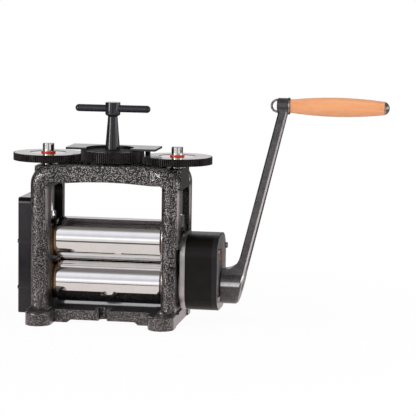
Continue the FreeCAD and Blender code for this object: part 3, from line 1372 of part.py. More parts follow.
def main():
    """Write one STEP file per sub-part."""
    os.makedirs("parts", exist_ok=True)
    for name, shape in build_nodes().items():
        solids = len(shape.Solids)
        print(f"{name:28s} solids {solids} valid {shape.isValid()} volume {shape.Volume:.0f}")
        shape.exportStep(f"parts/{name}.step")


main()
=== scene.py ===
"""Looks of a jeweller's rolling mill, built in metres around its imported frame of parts.

X runs along the rolls towards the crank, Y runs from the front to the back and Z is up. Each sub-assembly is
a class that makes its own meshes and dresses its parts in their finishes.
"""

from __future__ import annotations

import json
import logging
import math
from abc import ABC, abstractmethod
from collections.abc import Mapping, Sequence
from dataclasses import dataclass
from enum import Enum

import bmesh
import bpy
import numpy as np
from mathutils import Matrix, Vector

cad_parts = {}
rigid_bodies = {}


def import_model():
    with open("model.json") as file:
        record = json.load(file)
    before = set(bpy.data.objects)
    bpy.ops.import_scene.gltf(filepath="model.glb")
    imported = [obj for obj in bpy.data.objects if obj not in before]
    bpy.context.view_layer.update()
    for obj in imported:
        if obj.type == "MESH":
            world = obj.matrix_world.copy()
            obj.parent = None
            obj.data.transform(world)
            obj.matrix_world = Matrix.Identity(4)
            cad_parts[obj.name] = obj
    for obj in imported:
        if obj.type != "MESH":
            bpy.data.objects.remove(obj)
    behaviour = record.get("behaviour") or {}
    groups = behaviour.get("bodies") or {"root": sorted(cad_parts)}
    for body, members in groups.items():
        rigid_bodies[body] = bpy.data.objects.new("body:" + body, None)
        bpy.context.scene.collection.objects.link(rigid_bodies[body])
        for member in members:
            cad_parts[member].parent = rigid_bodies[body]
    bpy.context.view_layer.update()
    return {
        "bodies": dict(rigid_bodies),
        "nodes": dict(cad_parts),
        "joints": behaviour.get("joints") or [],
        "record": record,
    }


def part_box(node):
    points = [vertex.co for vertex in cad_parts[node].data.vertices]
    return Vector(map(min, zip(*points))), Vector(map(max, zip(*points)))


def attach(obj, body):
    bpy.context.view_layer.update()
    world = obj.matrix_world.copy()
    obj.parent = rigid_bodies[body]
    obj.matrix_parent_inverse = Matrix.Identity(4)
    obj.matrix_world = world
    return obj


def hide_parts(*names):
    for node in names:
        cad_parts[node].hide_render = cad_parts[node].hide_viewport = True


LOG = logging.getLogger("rolling_mill")
MM = 0.001
SHARP_TURN = math.radians(25.0)
SLANT = (0.13, 0.97, 0.21)
Colour = tuple[float, float, float]
Point = tuple[float, float, float]
BLACK = (0.0, 0.0, 0.0)
WHITE = (1.0, 1.0, 1.0)


# ---- shader maths ------------------------------------------------------------------------------------------
class Num:
    """A number that varies over a surface, with Python's arithmetic on it."""

    def __init__(self, tree: Tree, socket: bpy.types.NodeSocket) -> None:
        """Wrap one node output.

        Args:
            tree: the node tree that the output is in.
            socket: the output itself.
        """
        self.tree = tree
        self.socket = socket

    def _with(self, operation: str, *others: Num | float) -> Num:
        """Add one Math node.

        Args:
            operation: the node's operation.
            others: its further operands.

        Returns:
            The node's value.
        """
        return self.tree.maths(operation, self, *others)

    def __add__(self, other: Num | float) -> Num:
        """Sum."""
        return self._with("ADD", other)

    def __radd__(self, other: float) -> Num:
        """Sum with the number first."""
        return self._with("ADD", other)

    def __sub__(self, other: Num | float) -> Num:
        """Difference."""
        return self._with("SUBTRACT", other)

    def __rsub__(self, other: float) -> Num:
        """Difference with the number first."""
        return self.tree.maths("SUBTRACT", other, self)

    def __mul__(self, other: Num | float) -> Num:
        """Product."""
        return self._with("MULTIPLY", other)

    def __rmul__(self, other: float) -> Num:
        """Product with the number first."""
        return self._with("MULTIPLY", other)

    def __truediv__(self, other: Num | float) -> Num:
        """Quotient."""
        return self._with("DIVIDE", other)

    def __pow__(self, other: Num | float) -> Num:
        """Power."""
        return self._with("POWER", other)

    def __abs__(self) -> Num:
        """Size without sign."""
        return self._with("ABSOLUTE")

    def above(self, edge: float, soft: float) -> Num:
        """Mask that rises from 0 to 1 round an edge.

        Args:
            edge: where the mask is a half.
            soft: the width over which it rises.

        Returns:
            The mask.
        """
        return self.tree.span(self, edge - soft / 2, edge + soft / 2)

    def below(self, edge: float, soft: float) -> Num:
        """Mask that falls from 1 to 0 round an edge.

        Args:
            edge: where the mask is a half.
            soft: the width over which it falls.

        Returns:
            The mask.
        """
        return 1.0 - self.above(edge, soft)


@dataclass
class Place:
    """Object coordinates of a surface point, in metres."""

    vector: bpy.types.NodeSocket
    x: Num
    y: Num
    z: Num


class Tree:
    """Writes the nodes of one material, world or light."""

    def __init__(self, nodes: bpy.types.NodeTree) -> None:
        """Start from an empty tree.

        Args:
            nodes: the node tree to fill.
        """
        self.nodes = nodes
        nodes.nodes.clear()

    def node(
        self,
        kind: str,
        settings: Mapping[str, object] | None = None,
        values: Mapping[str | int, object] | None = None,
    ) -> bpy.types.Node:
        """Add a node, set it and then fill or link its inputs.

        Args:
            kind: the node's type.
            settings: the node's own properties; stops fills a colour ramp.
            values: numbers, colours or links by input name or number.

        Returns:
            The node.
        """
        made = self.nodes.nodes.new(kind)
        for name, value in (settings or {}).items():
            if name == "stops":
                self._fill_ramp(made, value)
            else:
                setattr(made, name, value)
        for name, value in (values or {}).items():
            target = made.inputs[name]
            if isinstance(value, Num):
                self.nodes.links.new(value.socket, target)
            elif isinstance(value, bpy.types.NodeSocket):
                self.nodes.links.new(value, target)
            elif isinstance(value, tuple) and target.type == "RGBA":
                target.default_value = (*value, 1.0)
            else:
                target.default_value = value
        return made

    @staticmethod
    def _fill_ramp(made: bpy.types.Node, stops: Sequence[tuple[float, Colour]]) -> None:
        """Give a colour ramp its stops.

        Args:
            made: the ramp's node.
            stops: place and colour of each stop, in order.
        """
        elements = made.color_ramp.elements
        while len(elements) < len(stops):
            elements.new(1.0)
        for element, (place, colour) in zip(elements, stops):
            element.position = place
            element.color = (*colour, 1.0)

    def maths(self, operation: str, *operands: Num | float) -> Num:
        """Add a Math node.

        Args:
            operation: the node's operation.
            operands: values or links in order.

        Returns:
            The node's value.
        """
        made = self.node("ShaderNodeMath", {"operation": operation}, dict(enumerate(operands)))
        return Num(self, made.outputs[0])

    def span(self, value: Num, low: float, high: float, to: tuple[float, float] = (0.0, 1.0)) -> Num:
        """Map a value smoothly from one range to another, and hold it at the ends.

        Args:
            value: what is mapped.
            low: where the result is to[0].
            high: where the result is to[1].
            to: the range of the result.

        Returns:
            The mapped value.
        """
        made = self.node(
            "ShaderNodeMapRange",
            {"interpolation_type": "SMOOTHSTEP"},
            {"Value": value, "From Min": low, "From Max": high, "To Min": to[0], "To Max": to[1]},
        )
        return Num(self, made.outputs["Result"])

    def place(self) -> Place:
        """Object coordinates of the surface."""
        vector = self.node("ShaderNodeTexCoord").outputs["Object"]
        return self.split(vector)

    def facing(self, kind: str = "True Normal") -> Place:
        """Direction in which the surface faces.

        Args:
            kind: True Normal for the flat faces' own direction, Normal for the smoothed one.

        Returns:
            The direction, of length 1.
        """
        return self.split(self.node("ShaderNodeNewGeometry").outputs[kind])

    def split(self, vector: bpy.types.NodeSocket) -> Place:
        """Take a vector apart.

        Args:
            vector: the vector's socket.

        Returns:
            The vector with its three numbers.
        """
        parts = self.node("ShaderNodeSeparateXYZ", None, {0: vector}).outputs
        return Place(vector, *(Num(self, part) for part in parts))

    def stretched(self, vector: bpy.types.NodeSocket, scale: Point) -> bpy.types.NodeSocket:
        """Scale coordinates, so that a pattern on them is drawn out.

        Args:
            vector: the coordinates.
            scale: factor along each axis.

        Returns:
            The scaled coordinates.
        """
        return self.node("ShaderNodeMapping", None, {"Vector": vector, "Scale": scale}).outputs[0]

    def noise(
        self, vector: bpy.types.NodeSocket, scale: float, detail: float = 2.0, roughness: float = 0.5
    ) -> Num:
        """Fractal noise from 0 to 1.

        Args:
            vector: the coordinates it reads.
            scale: cycles per metre.
            detail: octaves above the first.
            roughness: strength of the finer octaves.

        Returns:
            The noise.
        """
        values = {"Vector": vector, "Scale": scale, "Detail": detail, "Roughness": roughness}
        return Num(self, self.node("ShaderNodeTexNoise", None, values).outputs[0])

    def cells(self, vector: bpy.types.NodeSocket, scale: float) -> Num:
        """Distance to the nearest of scattered points, in units of a cell.

        Args:
            vector: the coordinates it reads.
            scale: cells per metre.

        Returns:
            The distance.
        """
        values = {"Vector": vector, "Scale": scale}
        return Num(self, self.node("ShaderNodeTexVoronoi", {"feature": "F1"}, values).outputs["Distance"])

    def mix(self, factor: Num, first: object, second: object) -> bpy.types.NodeSocket:
        """Blend two colours.

        Args:
            factor: share of the second colour.
            first: colour or link.
            second: colour or link.

        Returns:
            The blended colour.
        """
        made = self.node("ShaderNodeMix", {"data_type": "RGBA"}, {0: factor, 6: first, 7: second})
        return made.outputs[2]

    def ramp(self, factor: Num, stops: Sequence[tuple[float, Colour]]) -> bpy.types.NodeSocket:
        """Colour by a value from 0 to 1.

        Args:
            factor: the value.
            stops: place and colour of each stop, in order.

        Returns:
            The colour.
        """
        return self.node("ShaderNodeValToRGB", {"stops": stops}, {0: factor}).outputs[0]

    def soft_edges(self, radius: float) -> bpy.types.NodeSocket:
        """Normal that rounds the edges of a part.

        Args:
            radius: rounding radius in metres.

        Returns:
            The normal.
        """
        return self.node("ShaderNodeBevel", {"samples": 6}, {"Radius": radius}).outputs[0]

    def bump(
        self, height: Num, strength: float, distance: float, normal: bpy.types.NodeSocket | None = None
    ) -> bpy.types.NodeSocket:
        """Relief from a height.

        Args:
            height: the height, from 0 to 1.
            strength: how much of it shows.
            distance: height of the relief in metres.
            normal: a normal that it adds to.

        Returns:
            The normal.
        """
        values: dict[str | int, object] = {"Height": height, "Strength": strength, "Distance": distance}
        if normal is not None:
            values["Normal"] = normal
        return self.node("ShaderNodeBump", None, values).outputs[0]

    def ray(self, kind: str) -> Num:
        """Mask of one kind of ray.

        Args:
            kind: Camera, Glossy or Transmission.

        Returns:
            1 for such a ray, 0 for another.
        """
        return Num(self, self.node("ShaderNodeLightPath").outputs[f"Is {kind} Ray"])

    def blend(self, factor: Num, first: bpy.types.Node, second: bpy.types.Node) -> bpy.types.Node:
        """Blend two shaders.

        Args:
            factor: share of the second shader.
            first: shader's node.
            second: shader's node.

        Returns:
            The blended shader's node.
        """
        return self.node("ShaderNodeMixShader", None, {0: factor, 1: first.outputs[0], 2: second.outputs[0]})

    def surface(self, **values: object) -> None:
        """Add the Principled shader and the output.

        Args:
            values: inputs by name, with _ for a space.
        """
        named = {name.replace("_", " "): value for name, value in values.items()}
        shader = self.node("ShaderNodeBsdfPrincipled", None, named)
        self.node("ShaderNodeOutputMaterial", None, {"Surface": shader.outputs[0]})


# ---- finishes ----------------------------------------------------------------------------------------------
class Finish(ABC):
    """A finish that can be given to parts."""

    name: str
    slot: str

    @abstractmethod
    def write(self, tree: Tree) -> None:
        """Write the finish's nodes.

        Args:
            tree: the empty tree.
        """

    def material(self) -> bpy.types.Material:
        """Make the finish's material on first use.

        Returns:
            The material.
        """
        name = f"{self.name}_finish"
        found = bpy.data.materials.get(name)
        if found is None:
            found = bpy.data.materials.new(name)
            found.use_nodes = True
            self.write(Tree(found.node_tree))
        return found


class Lay(Enum):
    """Direction in which a metal's machining marks run, as cycles per metre along each axis."""

    ALONG_Z = (900.0, 900.0, 6.0)
    ROUND_X = (900.0, 40.0, 40.0)
    ALL_ROUND = (420.0, 420.0, 420.0)


@dataclass(frozen=True)
class HammerEnamel(Finish):
    """Hammer-finish enamel on rough castings, with machined faces on the cheeks left unpainted, light crests
    that are partly painted glints, a painted highlight on the right-facing rib flanks, painted light high up
    on the beam, and painted shade low on the machined faces, on the window walls and on the bed.
    """

    name: str = "hammer_enamel"
    slot: str = "frame_paint"
    ground: Colour = (0.011, 0.0098, 0.0097)
    middle: Colour = (0.055, 0.049, 0.049)
    # lightest tone, put on the crests: partly the enamel's own mottle, partly a painted glint
    fleck_and_glint: Colour = (0.60, 0.55, 0.547)
    # colour of the machined cheek faces, also put on the right-facing rib flanks as a painted highlight
    bare_and_highlight: Colour = (0.50, 0.465, 0.45)
    bare_stain: Colour = (0.36, 0.33, 0.32)
    # painted shade: near-black colour for the window walls and the bed; the next colour is a lighter painted
    # shade for the right window's walls
    painted_shade: Colour = (0.010, 0.009, 0.009)
    right_window_shade: Colour = (0.085, 0.084, 0.074)
    waves_per_metre: float = 620.0
    dimples_per_metre: float = 550.0
    clouds_per_metre: float = 34.0
    calm_below_z: float = 0.035
    calm_share: float = 0.55
    calm_shade: float = 0.62
    # painted light: above this height the beam is painted lighter, as if it caught more light
    beam_light_from_z: float = 0.212
    beam_light_lift: float = 0.045
    relief: float = 0.00022
    edge: float = 0.0012
    bare_inner_x: float = 0.084
    bare_outer_x: float = 0.1095
    bare_and_highlight_from_z: float = 0.024
    bare_reach_y: float = 0.050
    # below this height the machined faces get painted shade; above it the rib flanks get their painted
    # highlight
    shade_below_z: float = 0.150
    rib_from_y: float = 0.0385
    rib_top_z: float = 0.204
    window_y: float = 0.0383
    window_top_z: float = 0.206
    bed_z: float = 0.0215
    bed_reach_x: float = 0.082
    bed_back_y: float = 0.002

    def write(self, tree: Tree) -> None:
        """Write hammered waves with light crests, partly painted glints, and unpainted cheek faces, with a
        painted highlight on the right-facing rib flanks, painted light high up on the beam, and painted shade
        low on the machined faces, on the window walls and on the bed.

        Args:
            tree: the material's empty tree.
        """
        at = tree.place()
        cloud = tree.noise(at.vector, self.clouds_per_metre, 2.0)
        height = self.hammered(tree, at)
        calm = at.z.below(self.calm_below_z, 0.05) * self.calm_share
        # painted light: the upper beam is painted lighter, as if it caught more light
        painted_beam_light = at.z.above(self.beam_light_from_z, 0.02) * self.beam_light_lift
        # crests are painted lighter than hollows, partly the enamel's mottle and partly painted glints
        crests = tree.span(height + painted_beam_light + (cloud - 0.5) * 0.10, 0.22, 0.74)
        shade = crests * (1.0 - calm) + calm * self.calm_shade
        bare_and_highlight, painted_shade, matt_and_shade = self.masks(tree, at)
        colour = tree.ramp(shade, ((0.0, self.ground), (0.5, self.middle), (1.0, self.fleck_and_glint)))
        colour = tree.mix(bare_and_highlight, colour, self.stained(tree, at, cloud))
        # painted shade on the window walls: near-black on the left, lighter and mottled on the right
        right_window_tone = tree.mix(shade, self.painted_shade, self.right_window_shade)
        colour = tree.mix(painted_shade, colour, tree.mix(at.x.above(0.0, 0.1), self.painted_shade, right_window_tone))
        # painted shade on the bed under the rolls, which is also made rough
        colour = tree.mix(matt_and_shade * 0.75, colour, self.painted_shade)
        plain = tree.maths("MAXIMUM", tree.maths("MAXIMUM", bare_and_highlight, painted_shade), matt_and_shade)
        tree.surface(
            Base_Color=colour,
            Metallic=tree.span(bare_and_highlight, 0.0, 1.0, (0.72, 1.0)),
            Roughness=tree.span(shade, 0.0, 1.0, (0.36, 0.24)) + plain * 0.08 + matt_and_shade * 0.35,
            Coat_Weight=(1.0 - plain) * 0.6,
            Coat_Roughness=0.12,
            Normal=tree.bump(height * (1.0 - plain * 0.95), 1.0, self.relief, tree.soft_edges(self.edge)),
        )

    def hammered(self, tree: Tree, at: Place) -> Num:
        """Height of the hammered paint: half from round drops and half from waves.

        Args:
            tree: the material's tree.
            at: Object coordinates.

        Returns:
            The height, from 0 to 1.
        """
        waves = tree.noise(at.vector, self.waves_per_metre, 2.0, 0.6)
        drops = tree.span(tree.cells(at.vector, self.dimples_per_metre), 0.56, 0.18)
        return drops * 0.5 + waves * 0.5

    def stained(self, tree: Tree, at: Place, cloud: Num) -> bpy.types.NodeSocket:
        """Colour of the unpainted metal, which the rib flanks also take as a painted highlight: milled and
        stained, with painted shade lower down.

        Args:
            tree: the material's tree.
            at: Object coordinates.
            cloud: slow noise that spreads the stains.

        Returns:
            The colour.
        """
        marks = tree.noise(tree.stretched(at.vector, Lay.ALONG_Z.value), 1.0, 3.0, 0.6)
        clean = tree.mix(tree.span(marks * 0.5 + cloud * 0.5, 0.35, 0.65), self.bare_and_highlight, self.bare_stain)
        # painted shade: the machined faces are darkened low down, where less light reaches
        low_shade = at.z.below(self.shade_below_z, 0.04) * 0.8
        return tree.mix(low_shade, clean, tree.mix(marks, self.ground, self.middle))

    def masks(self, tree: Tree, at: Place) -> tuple[Num, Num, Num]:
        """Masks of the unpainted cheek faces together with the painted highlight on the right-facing rib
        flanks, of the window walls painted dark as shade, and of the dull bed darkened as painted shade.

        Args:
            tree: the material's tree.
            at: Object coordinates.

        Returns:
            The three masks.
        """
        facing, curved = tree.facing(), tree.facing("Normal")
        out, side = abs(at.x), abs(at.y)
        cheek = out.above(self.bare_inner_x, 0.0004) * side.below(self.bare_reach_y, 0.001)
        bare_and_highlight = abs(facing.x).above(0.955, 0.03) * cheek * out.below(self.bare_outer_x, 0.0004)
        # painted highlight: rib flanks facing +X, toward the right lamp, take the unpainted-metal colour
        painted_flank_highlight = curved.x.above(0.74, 0.12) * at.z.below(self.rib_top_z, 0.008)
        painted_flank_highlight = painted_flank_highlight * side.above(self.rib_from_y, 0.0004) * at.z.above(self.shade_below_z, 0.04)
        bare_and_highlight = tree.maths("MAXIMUM", bare_and_highlight, painted_flank_highlight) * at.z.above(self.bare_and_highlight_from_z, 0.002)
        # window walls, to be painted dark as shade
        window = side.below(self.window_y, 0.0002) * at.z.below(self.window_top_z, 0.001)
        painted_shade = cheek * window * abs(facing.x).below(0.5, 0.2)
        # the bed's front under the rolls: made rough, and darkened as painted shade
        matt_and_shade = at.z.below(self.bed_z, 0.001) * facing.z.above(0.9, 0.1)
        matt_and_shade = matt_and_shade * out.below(self.bed_reach_x, 0.001) * at.y.below(self.bed_back_y, 0.010)
        return bare_and_highlight, painted_shade, matt_and_shade


@dataclass(frozen=True)
class SmoothEnamel(Finish):
    """Smooth paint with a little orange peel and cloudiness."""

    name: str
    slot: str
    colour: Colour
    cloud: Colour
    roughness: float = 0.4
    metallic: float = 0.0
    coat: float = 0.2
    peel: float = 0.00006
    edge: float = 0.0008
    specular: float = 0.4
    clouds_per_metre: float = 60.0
    peels_per_metre: float = 900.0

    def write(self, tree: Tree) -> None:
        """Write a clouded colour and fine peel.

        Args:
            tree: the material's empty tree.
        """
        at = tree.place()
        cloud = tree.noise(at.vector, self.clouds_per_metre, 3.0, 0.6)
        peel = tree.noise(at.vector, self.peels_per_metre, 2.0, 0.6)
        colour = tree.mix(tree.span(cloud * 0.6 + peel * 0.4, 0.35, 0.68), self.colour, self.cloud)
        tree.surface(
            Base_Color=colour,
            Metallic=self.metallic,
            Roughness=tree.span(cloud, 0.3, 0.7, (self.roughness * 0.85, self.roughness * 1.15)),
            Specular_IOR_Level=self.specular,
            Coat_Weight=self.coat,
            Coat_Roughness=0.12,
            Normal=tree.bump(peel, 0.5, self.peel, tree.soft_edges(self.edge)),
        )


@dataclass(frozen=True)
class CoverEnamel(Finish):
    """Charcoal enamel of a folded cover, with a painted shade stripe along the top and a pale painted
    highlight line under it.
    """

    top_z: float
    name: str = "cover_enamel"
    slot: str = "cover_paint"
    charcoal: Colour = (0.014, 0.0122, 0.0145)
    cloudy: Colour = (0.020, 0.0175, 0.0205)
    # painted shade colour of the dark stripe along the top; the next colour is the pale painted highlight
    # line under it
    black: Colour = (0.010, 0.008, 0.008)
    painted_highlight_line: Colour = (0.110, 0.100, 0.112)
    shade_stripe_depth: float = 0.0058
    highlight_line_depth: float = 0.0088
    edge: float = 0.003
    specular: float = 0.4
    roughness: tuple[float, float] = (0.13, 0.17)
    clouds_per_metre: float = 60.0
    peels_per_metre: float = 900.0
    peel: float = 0.00006

    def write(self, tree: Tree) -> None:
        """Write a clouded colour with fine peel, and the painted shade stripe and the painted highlight line
        by their depth under the top.

        Args:
            tree: the material's empty tree.
        """
        at = tree.place()
        cloud = tree.noise(at.vector, self.clouds_per_metre, 3.0, 0.6)
        peel = tree.noise(at.vector, self.peels_per_metre, 2.0, 0.6)
        upright = tree.facing().z.below(0.7, 0.2)
        # painted shade stripe along the top and a painted highlight line under it, on upright faces
        painted_shade_stripe = at.z.above(self.top_z - self.shade_stripe_depth, 0.0008) * upright
        painted_highlight_line = at.z.above(self.top_z - self.highlight_line_depth, 0.0012) * upright
        colour = tree.mix(tree.span(cloud * 0.6 + peel * 0.4, 0.35, 0.68), self.charcoal, self.cloudy)
        colour = tree.mix(painted_shade_stripe, tree.mix(painted_highlight_line, colour, self.painted_highlight_line), self.black)
        tree.surface(
            Base_Color=colour,
            Metallic=painted_shade_stripe,
            Roughness=tree.span(cloud, 0.3, 0.7, self.roughness),
            Specular_IOR_Level=self.specular,
            Normal=tree.bump(peel, 0.5, self.peel, tree.soft_edges(self.edge)),
        )


@dataclass(frozen=True)
class BareMetal(Finish):
    """Bare machined metal, from satin to mirror, with marks that run one way."""

    name: str
    slot: str
    colour: Colour
    stain: Colour
    roughness: float = 0.25
    lay: Lay = Lay.ALL_ROUND
    relief: float = 0.00001
    edge: float = 0.0004
    metallic: float = 1.0
    stains_per_metre: float = 45.0

    def write(self, tree: Tree) -> None:
        """Write faint stains and drawn-out marks.

        Args:
            tree: the material's empty tree.
        """
        at = tree.place()
        marks = tree.noise(tree.stretched(at.vector, self.lay.value), 1.0, 3.0, 0.6)
        stains = tree.noise(at.vector, self.stains_per_metre, 3.0, 0.6)
        colour = tree.mix(tree.span(stains * 0.7 + marks * 0.3, 0.38, 0.66), self.colour, self.stain)
        rough = tree.span(marks, 0.25, 0.75, (self.roughness * 0.75, self.roughness * 1.25))
        tree.surface(
            Base_Color=colour,
            Metallic=self.metallic,
            Roughness=rough,
            Normal=tree.bump(marks, 0.6, self.relief, tree.soft_edges(self.edge)),
        )


@dataclass(frozen=True)
class FacedCasting(Finish):
    """Painted casting whose outer face is turned off to speckled grey metal."""

    name: str = "faced_casting"
    slot: str = "cover_aluminium"
    paint: Colour = (0.010, 0.009, 0.010)
    pale: Colour = (0.62, 0.58, 0.58)
    dark: Colour = (0.31, 0.285, 0.29)
    speckles_per_metre: float = 620.0

    def write(self, tree: Tree) -> None:
        """Write black paint, and speckled metal where the surface faces along X.

        Args:
            tree: the material's empty tree.
        """
        at = tree.place()
        face = tree.facing().x.above(0.9, 0.1)
        speckle = tree.noise(at.vector, self.speckles_per_metre, 2.0, 0.6)
        metal = tree.mix(tree.span(speckle, 0.36, 0.62), self.dark, self.pale)
        tree.surface(
            Base_Color=tree.mix(face, self.paint, metal),
            Metallic=face * 0.7,
            Roughness=tree.span(speckle, 0.3, 0.7, (0.32, 0.46)),
            Specular_IOR_Level=0.35,
            Normal=tree.bump(speckle, 0.5, 0.00008, tree.soft_edges(0.0006)),
        )


@dataclass(frozen=True)
class CrankSteel(Finish):
    """Dark forged steel whose right-facing bevels are ground bright with a painted highlight, and with a
    painted highlight stripe along the hub.
    """

    name: str = "crank_steel"
    slot: str = "crank_paint"
    dark: Colour = (0.064, 0.059, 0.063)
    pale: Colour = (0.135, 0.127, 0.132)
    # colour of the right-facing bevels, ground bright with painted highlight, and of the painted highlight on
    # the hub
    bright: Colour = (0.66, 0.64, 0.635)
    hub_top: float = 0.085
    bevel_from: float = 0.068
    clouds_per_metre: float = 60.0
    weave_scale: Point = (760.0, 760.0, 300.0)

    def write(self, tree: Tree) -> None:
        """Write a fine weave, and bright metal where the surface is a right-facing bevel, ground bright and
        partly painted highlight, or the hub's shoulder, a painted highlight.

        Args:
            tree: the material's empty tree.
        """
        at = tree.place()
        cloud = tree.noise(at.vector, self.clouds_per_metre, 3.0, 0.6)
        weave = tree.noise(tree.stretched(at.vector, self.weave_scale), 1.0, 2.0, 0.6)
        facing = tree.facing("Normal")
        # right-facing bevels: ground bright metal, partly a painted highlight
        bevel = facing.x.above(0.52, 0.1) * facing.x.below(0.84, 0.1) * abs(facing.y).above(0.5, 0.1)
        bevel = bevel * at.z.above(self.bevel_from, 0.02)
        # painted highlight: a stripe on the hub's upper shoulder, standing in for a lamp's reflection
        hub_highlight = facing.z.above(0.13, 0.08) * facing.z.below(0.34, 0.12) * facing.y.below(-0.85, 0.1)
        hub_highlight = hub_highlight * at.z.below(self.hub_top, 0.004)
        ground_and_highlight = tree.maths("MAXIMUM", bevel, hub_highlight) * tree.span(weave, 0.2, 0.6, (0.6, 1.0))
        colour = tree.mix(tree.span(cloud * 0.5 + weave * 0.5, 0.36, 0.66), self.dark, self.pale)
        tree.surface(
            Base_Color=tree.mix(ground_and_highlight, colour, self.bright),
            Metallic=0.75,
            Roughness=tree.span(ground_and_highlight, 0.0, 1.0, (0.34, 0.25)),
            Coat_Weight=0.3,
            Coat_Roughness=0.15,
            Normal=tree.bump(weave, 0.5, 0.00010, tree.soft_edges(0.0005)),
        )


@dataclass(frozen=True)
class Beech(Finish):
    """Turned beech with its grain along X and short dark rays."""

    name: str = "beech"
    slot: str = "beech"
    pale: Colour = (0.95, 0.435, 0.205)
    warm: Colour = (0.84, 0.335, 0.140)
    ray: Colour = (0.52, 0.20, 0.085)
    band_scale: Point = (5.0, 85.0, 85.0)
    fibre_scale: Point = (60.0, 1900.0, 1900.0)
    ray_scale: Point = (170.0, 1050.0, 1050.0)

    def write(self, tree: Tree) -> None:
        """Write long soft bands, fine fibres and short rays along the turned axis.

        Args:
            tree: the material's empty tree.
        """
        at = tree.place()
        bands = tree.noise(tree.stretched(at.vector, self.band_scale), 1.0, 3.0, 0.55)
        fibres = tree.noise(tree.stretched(at.vector, self.fibre_scale), 1.0, 2.0, 0.6)
        rays = tree.cells(tree.stretched(at.vector, self.ray_scale), 1.0)
        colour = tree.mix(tree.span(bands * 0.75 + fibres * 0.25, 0.34, 0.68), self.pale, self.warm)
        flecks = tree.span(rays, 0.22, 0.06) * tree.span(bands, 0.38, 0.60) * 0.7
        colour = tree.mix(flecks, colour, self.ray)
        tree.surface(
            Base_Color=colour,
            Roughness=tree.span(fibres, 0.3, 0.7, (0.34, 0.48)),
            Coat_Weight=0.18,
            Coat_Roughness=0.22,
            Normal=tree.bump(fibres, 0.35, 0.00004),
        )


@dataclass(frozen=True)
class GearSteel(Finish):
    """Blackened gear steel with a dull top face inside a brighter rim."""

    name: str = "blackened_gear"
    slot: str = "black_steel"
    black: Colour = (0.016, 0.014, 0.015)
    brown: Colour = (0.034, 0.027, 0.026)
    rim_radius: float = 0.0445
    blotches_per_metre: float = 110.0
    grains_per_metre: float = 1500.0

    def write(self, tree: Tree) -> None:
        """Write blotched black oxide over turning marks, dull on the top face within the rim.

        Args:
            tree: the material's empty tree.
        """
        at = tree.place()
        blotch = tree.noise(at.vector, self.blotches_per_metre, 4.0, 0.65)
        fine = tree.noise(at.vector, self.grains_per_metre, 2.0, 0.5)
        radius = (at.x * at.x + at.y * at.y) ** 0.5
        dull = tree.facing().z.above(0.9, 0.1) * radius.below(self.rim_radius, 0.001)
        colour = tree.mix(tree.span(blotch * 0.7 + fine * 0.3, 0.36, 0.66), self.black, self.brown)
        tree.surface(
            Base_Color=colour,
            Metallic=0.45,
            Roughness=tree.span(blotch, 0.3, 0.7, (0.24, 0.36)) + dull * 0.34,
            Coat_Weight=(1.0 - dull) * 0.25,
            Coat_Roughness=0.15,
            Normal=tree.bump(fine, 0.3, 0.00002, tree.soft_edges(0.0003)),
        )


@dataclass(frozen=True)
class DialFace(Finish):
    """Dial steel: black teeth and rim, a satin rim face and a bright turned recess."""

    name: str
    centre_x: float
    slot: str = "black_steel"
    black: Colour = (0.016, 0.014, 0.015)
    brown: Colour = (0.036, 0.029, 0.028)
    satin: Colour = (0.32, 0.285, 0.28)
    bright: Colour = (0.66, 0.60, 0.58)
    worn: Colour = (0.50, 0.44, 0.42)
    recess_radius: float = 0.028
    rings_per_metre: float = 5200.0
    blotches_per_metre: float = 120.0

    def write(self, tree: Tree) -> None:
        """Write the recess by its radius from the screw, with fine turned rings on it.

        Args:
            tree: the material's empty tree.
        """
        at = tree.place()
        across = at.x - self.centre_x
        radius = (across * across + at.y * at.y) ** 0.5
        up = tree.facing().z.above(0.7, 0.2)
        recess = radius.below(self.recess_radius, 0.0005) * up
        outwards = tree.node("ShaderNodeCombineXYZ", None, {0: radius}).outputs[0]
        rings = tree.noise(tree.stretched(outwards, (self.rings_per_metre, 1.0, 1.0)), 1.0, 2.0)
        blotch = tree.noise(at.vector, self.blotches_per_metre, 3.0, 0.6)
        rim = tree.mix(tree.span(blotch, 0.35, 0.66), self.black, self.brown)
        floor = tree.mix(tree.span(rings * 0.6 + blotch * 0.4, 0.3, 0.7), self.bright, self.worn)
        face = tree.mix(up * 0.75, rim, self.satin)
        tree.surface(
            Base_Color=tree.mix(recess, face, floor),
            Metallic=tree.span(recess + up * 0.5, 0.0, 1.0, (0.45, 1.0)),
            Roughness=tree.span(up, 0.0, 1.0, (0.27, 0.14)) + (rings - 0.5) * 0.06,
            Normal=tree.bump(rings * up, 0.35, 0.00001, tree.soft_edges(0.0003)),
        )


@dataclass(frozen=True)
class FlangeBronze(Finish):
    """Bronze flange with painted shade on it, but for the edge beside the roll."""

    name: str = "flange_bronze"
    slot: str = "bronze"
    clean: Colour = (0.92, 0.58, 0.25)
    worn: Colour = (0.66, 0.38, 0.15)
    # painted shade on the flange away from the roll
    flange_shade: Colour = (0.12, 0.088, 0.060)
    shade_from_x: float = 0.0830
    stains_per_metre: float = 70.0

    def write(self, tree: Tree) -> None:
        """Write turned marks, with painted shade away from the roll.

        Args:
            tree: the material's empty tree.
        """
        at = tree.place()
        marks = tree.noise(tree.stretched(at.vector, Lay.ROUND_X.value), 1.0, 3.0, 0.6)
        stains = tree.noise(at.vector, self.stains_per_metre, 3.0, 0.6)
        # painted shade away from the roll, varied a little by the stains noise
        flange_shade = abs(at.x).above(self.shade_from_x, 0.0006) * tree.span(stains, 0.2, 0.5, (0.8, 1.0))
        colour = tree.mix(tree.span(marks * 0.5 + stains * 0.5, 0.36, 0.66), self.clean, self.worn)
        tree.surface(
            Base_Color=tree.mix(flange_shade, colour, self.flange_shade),
            Metallic=1.0,
            Roughness=tree.span(marks, 0.25, 0.75, (0.20, 0.32)),
            Normal=tree.bump(marks, 0.6, 0.00001, tree.soft_edges(0.0004)),
        )


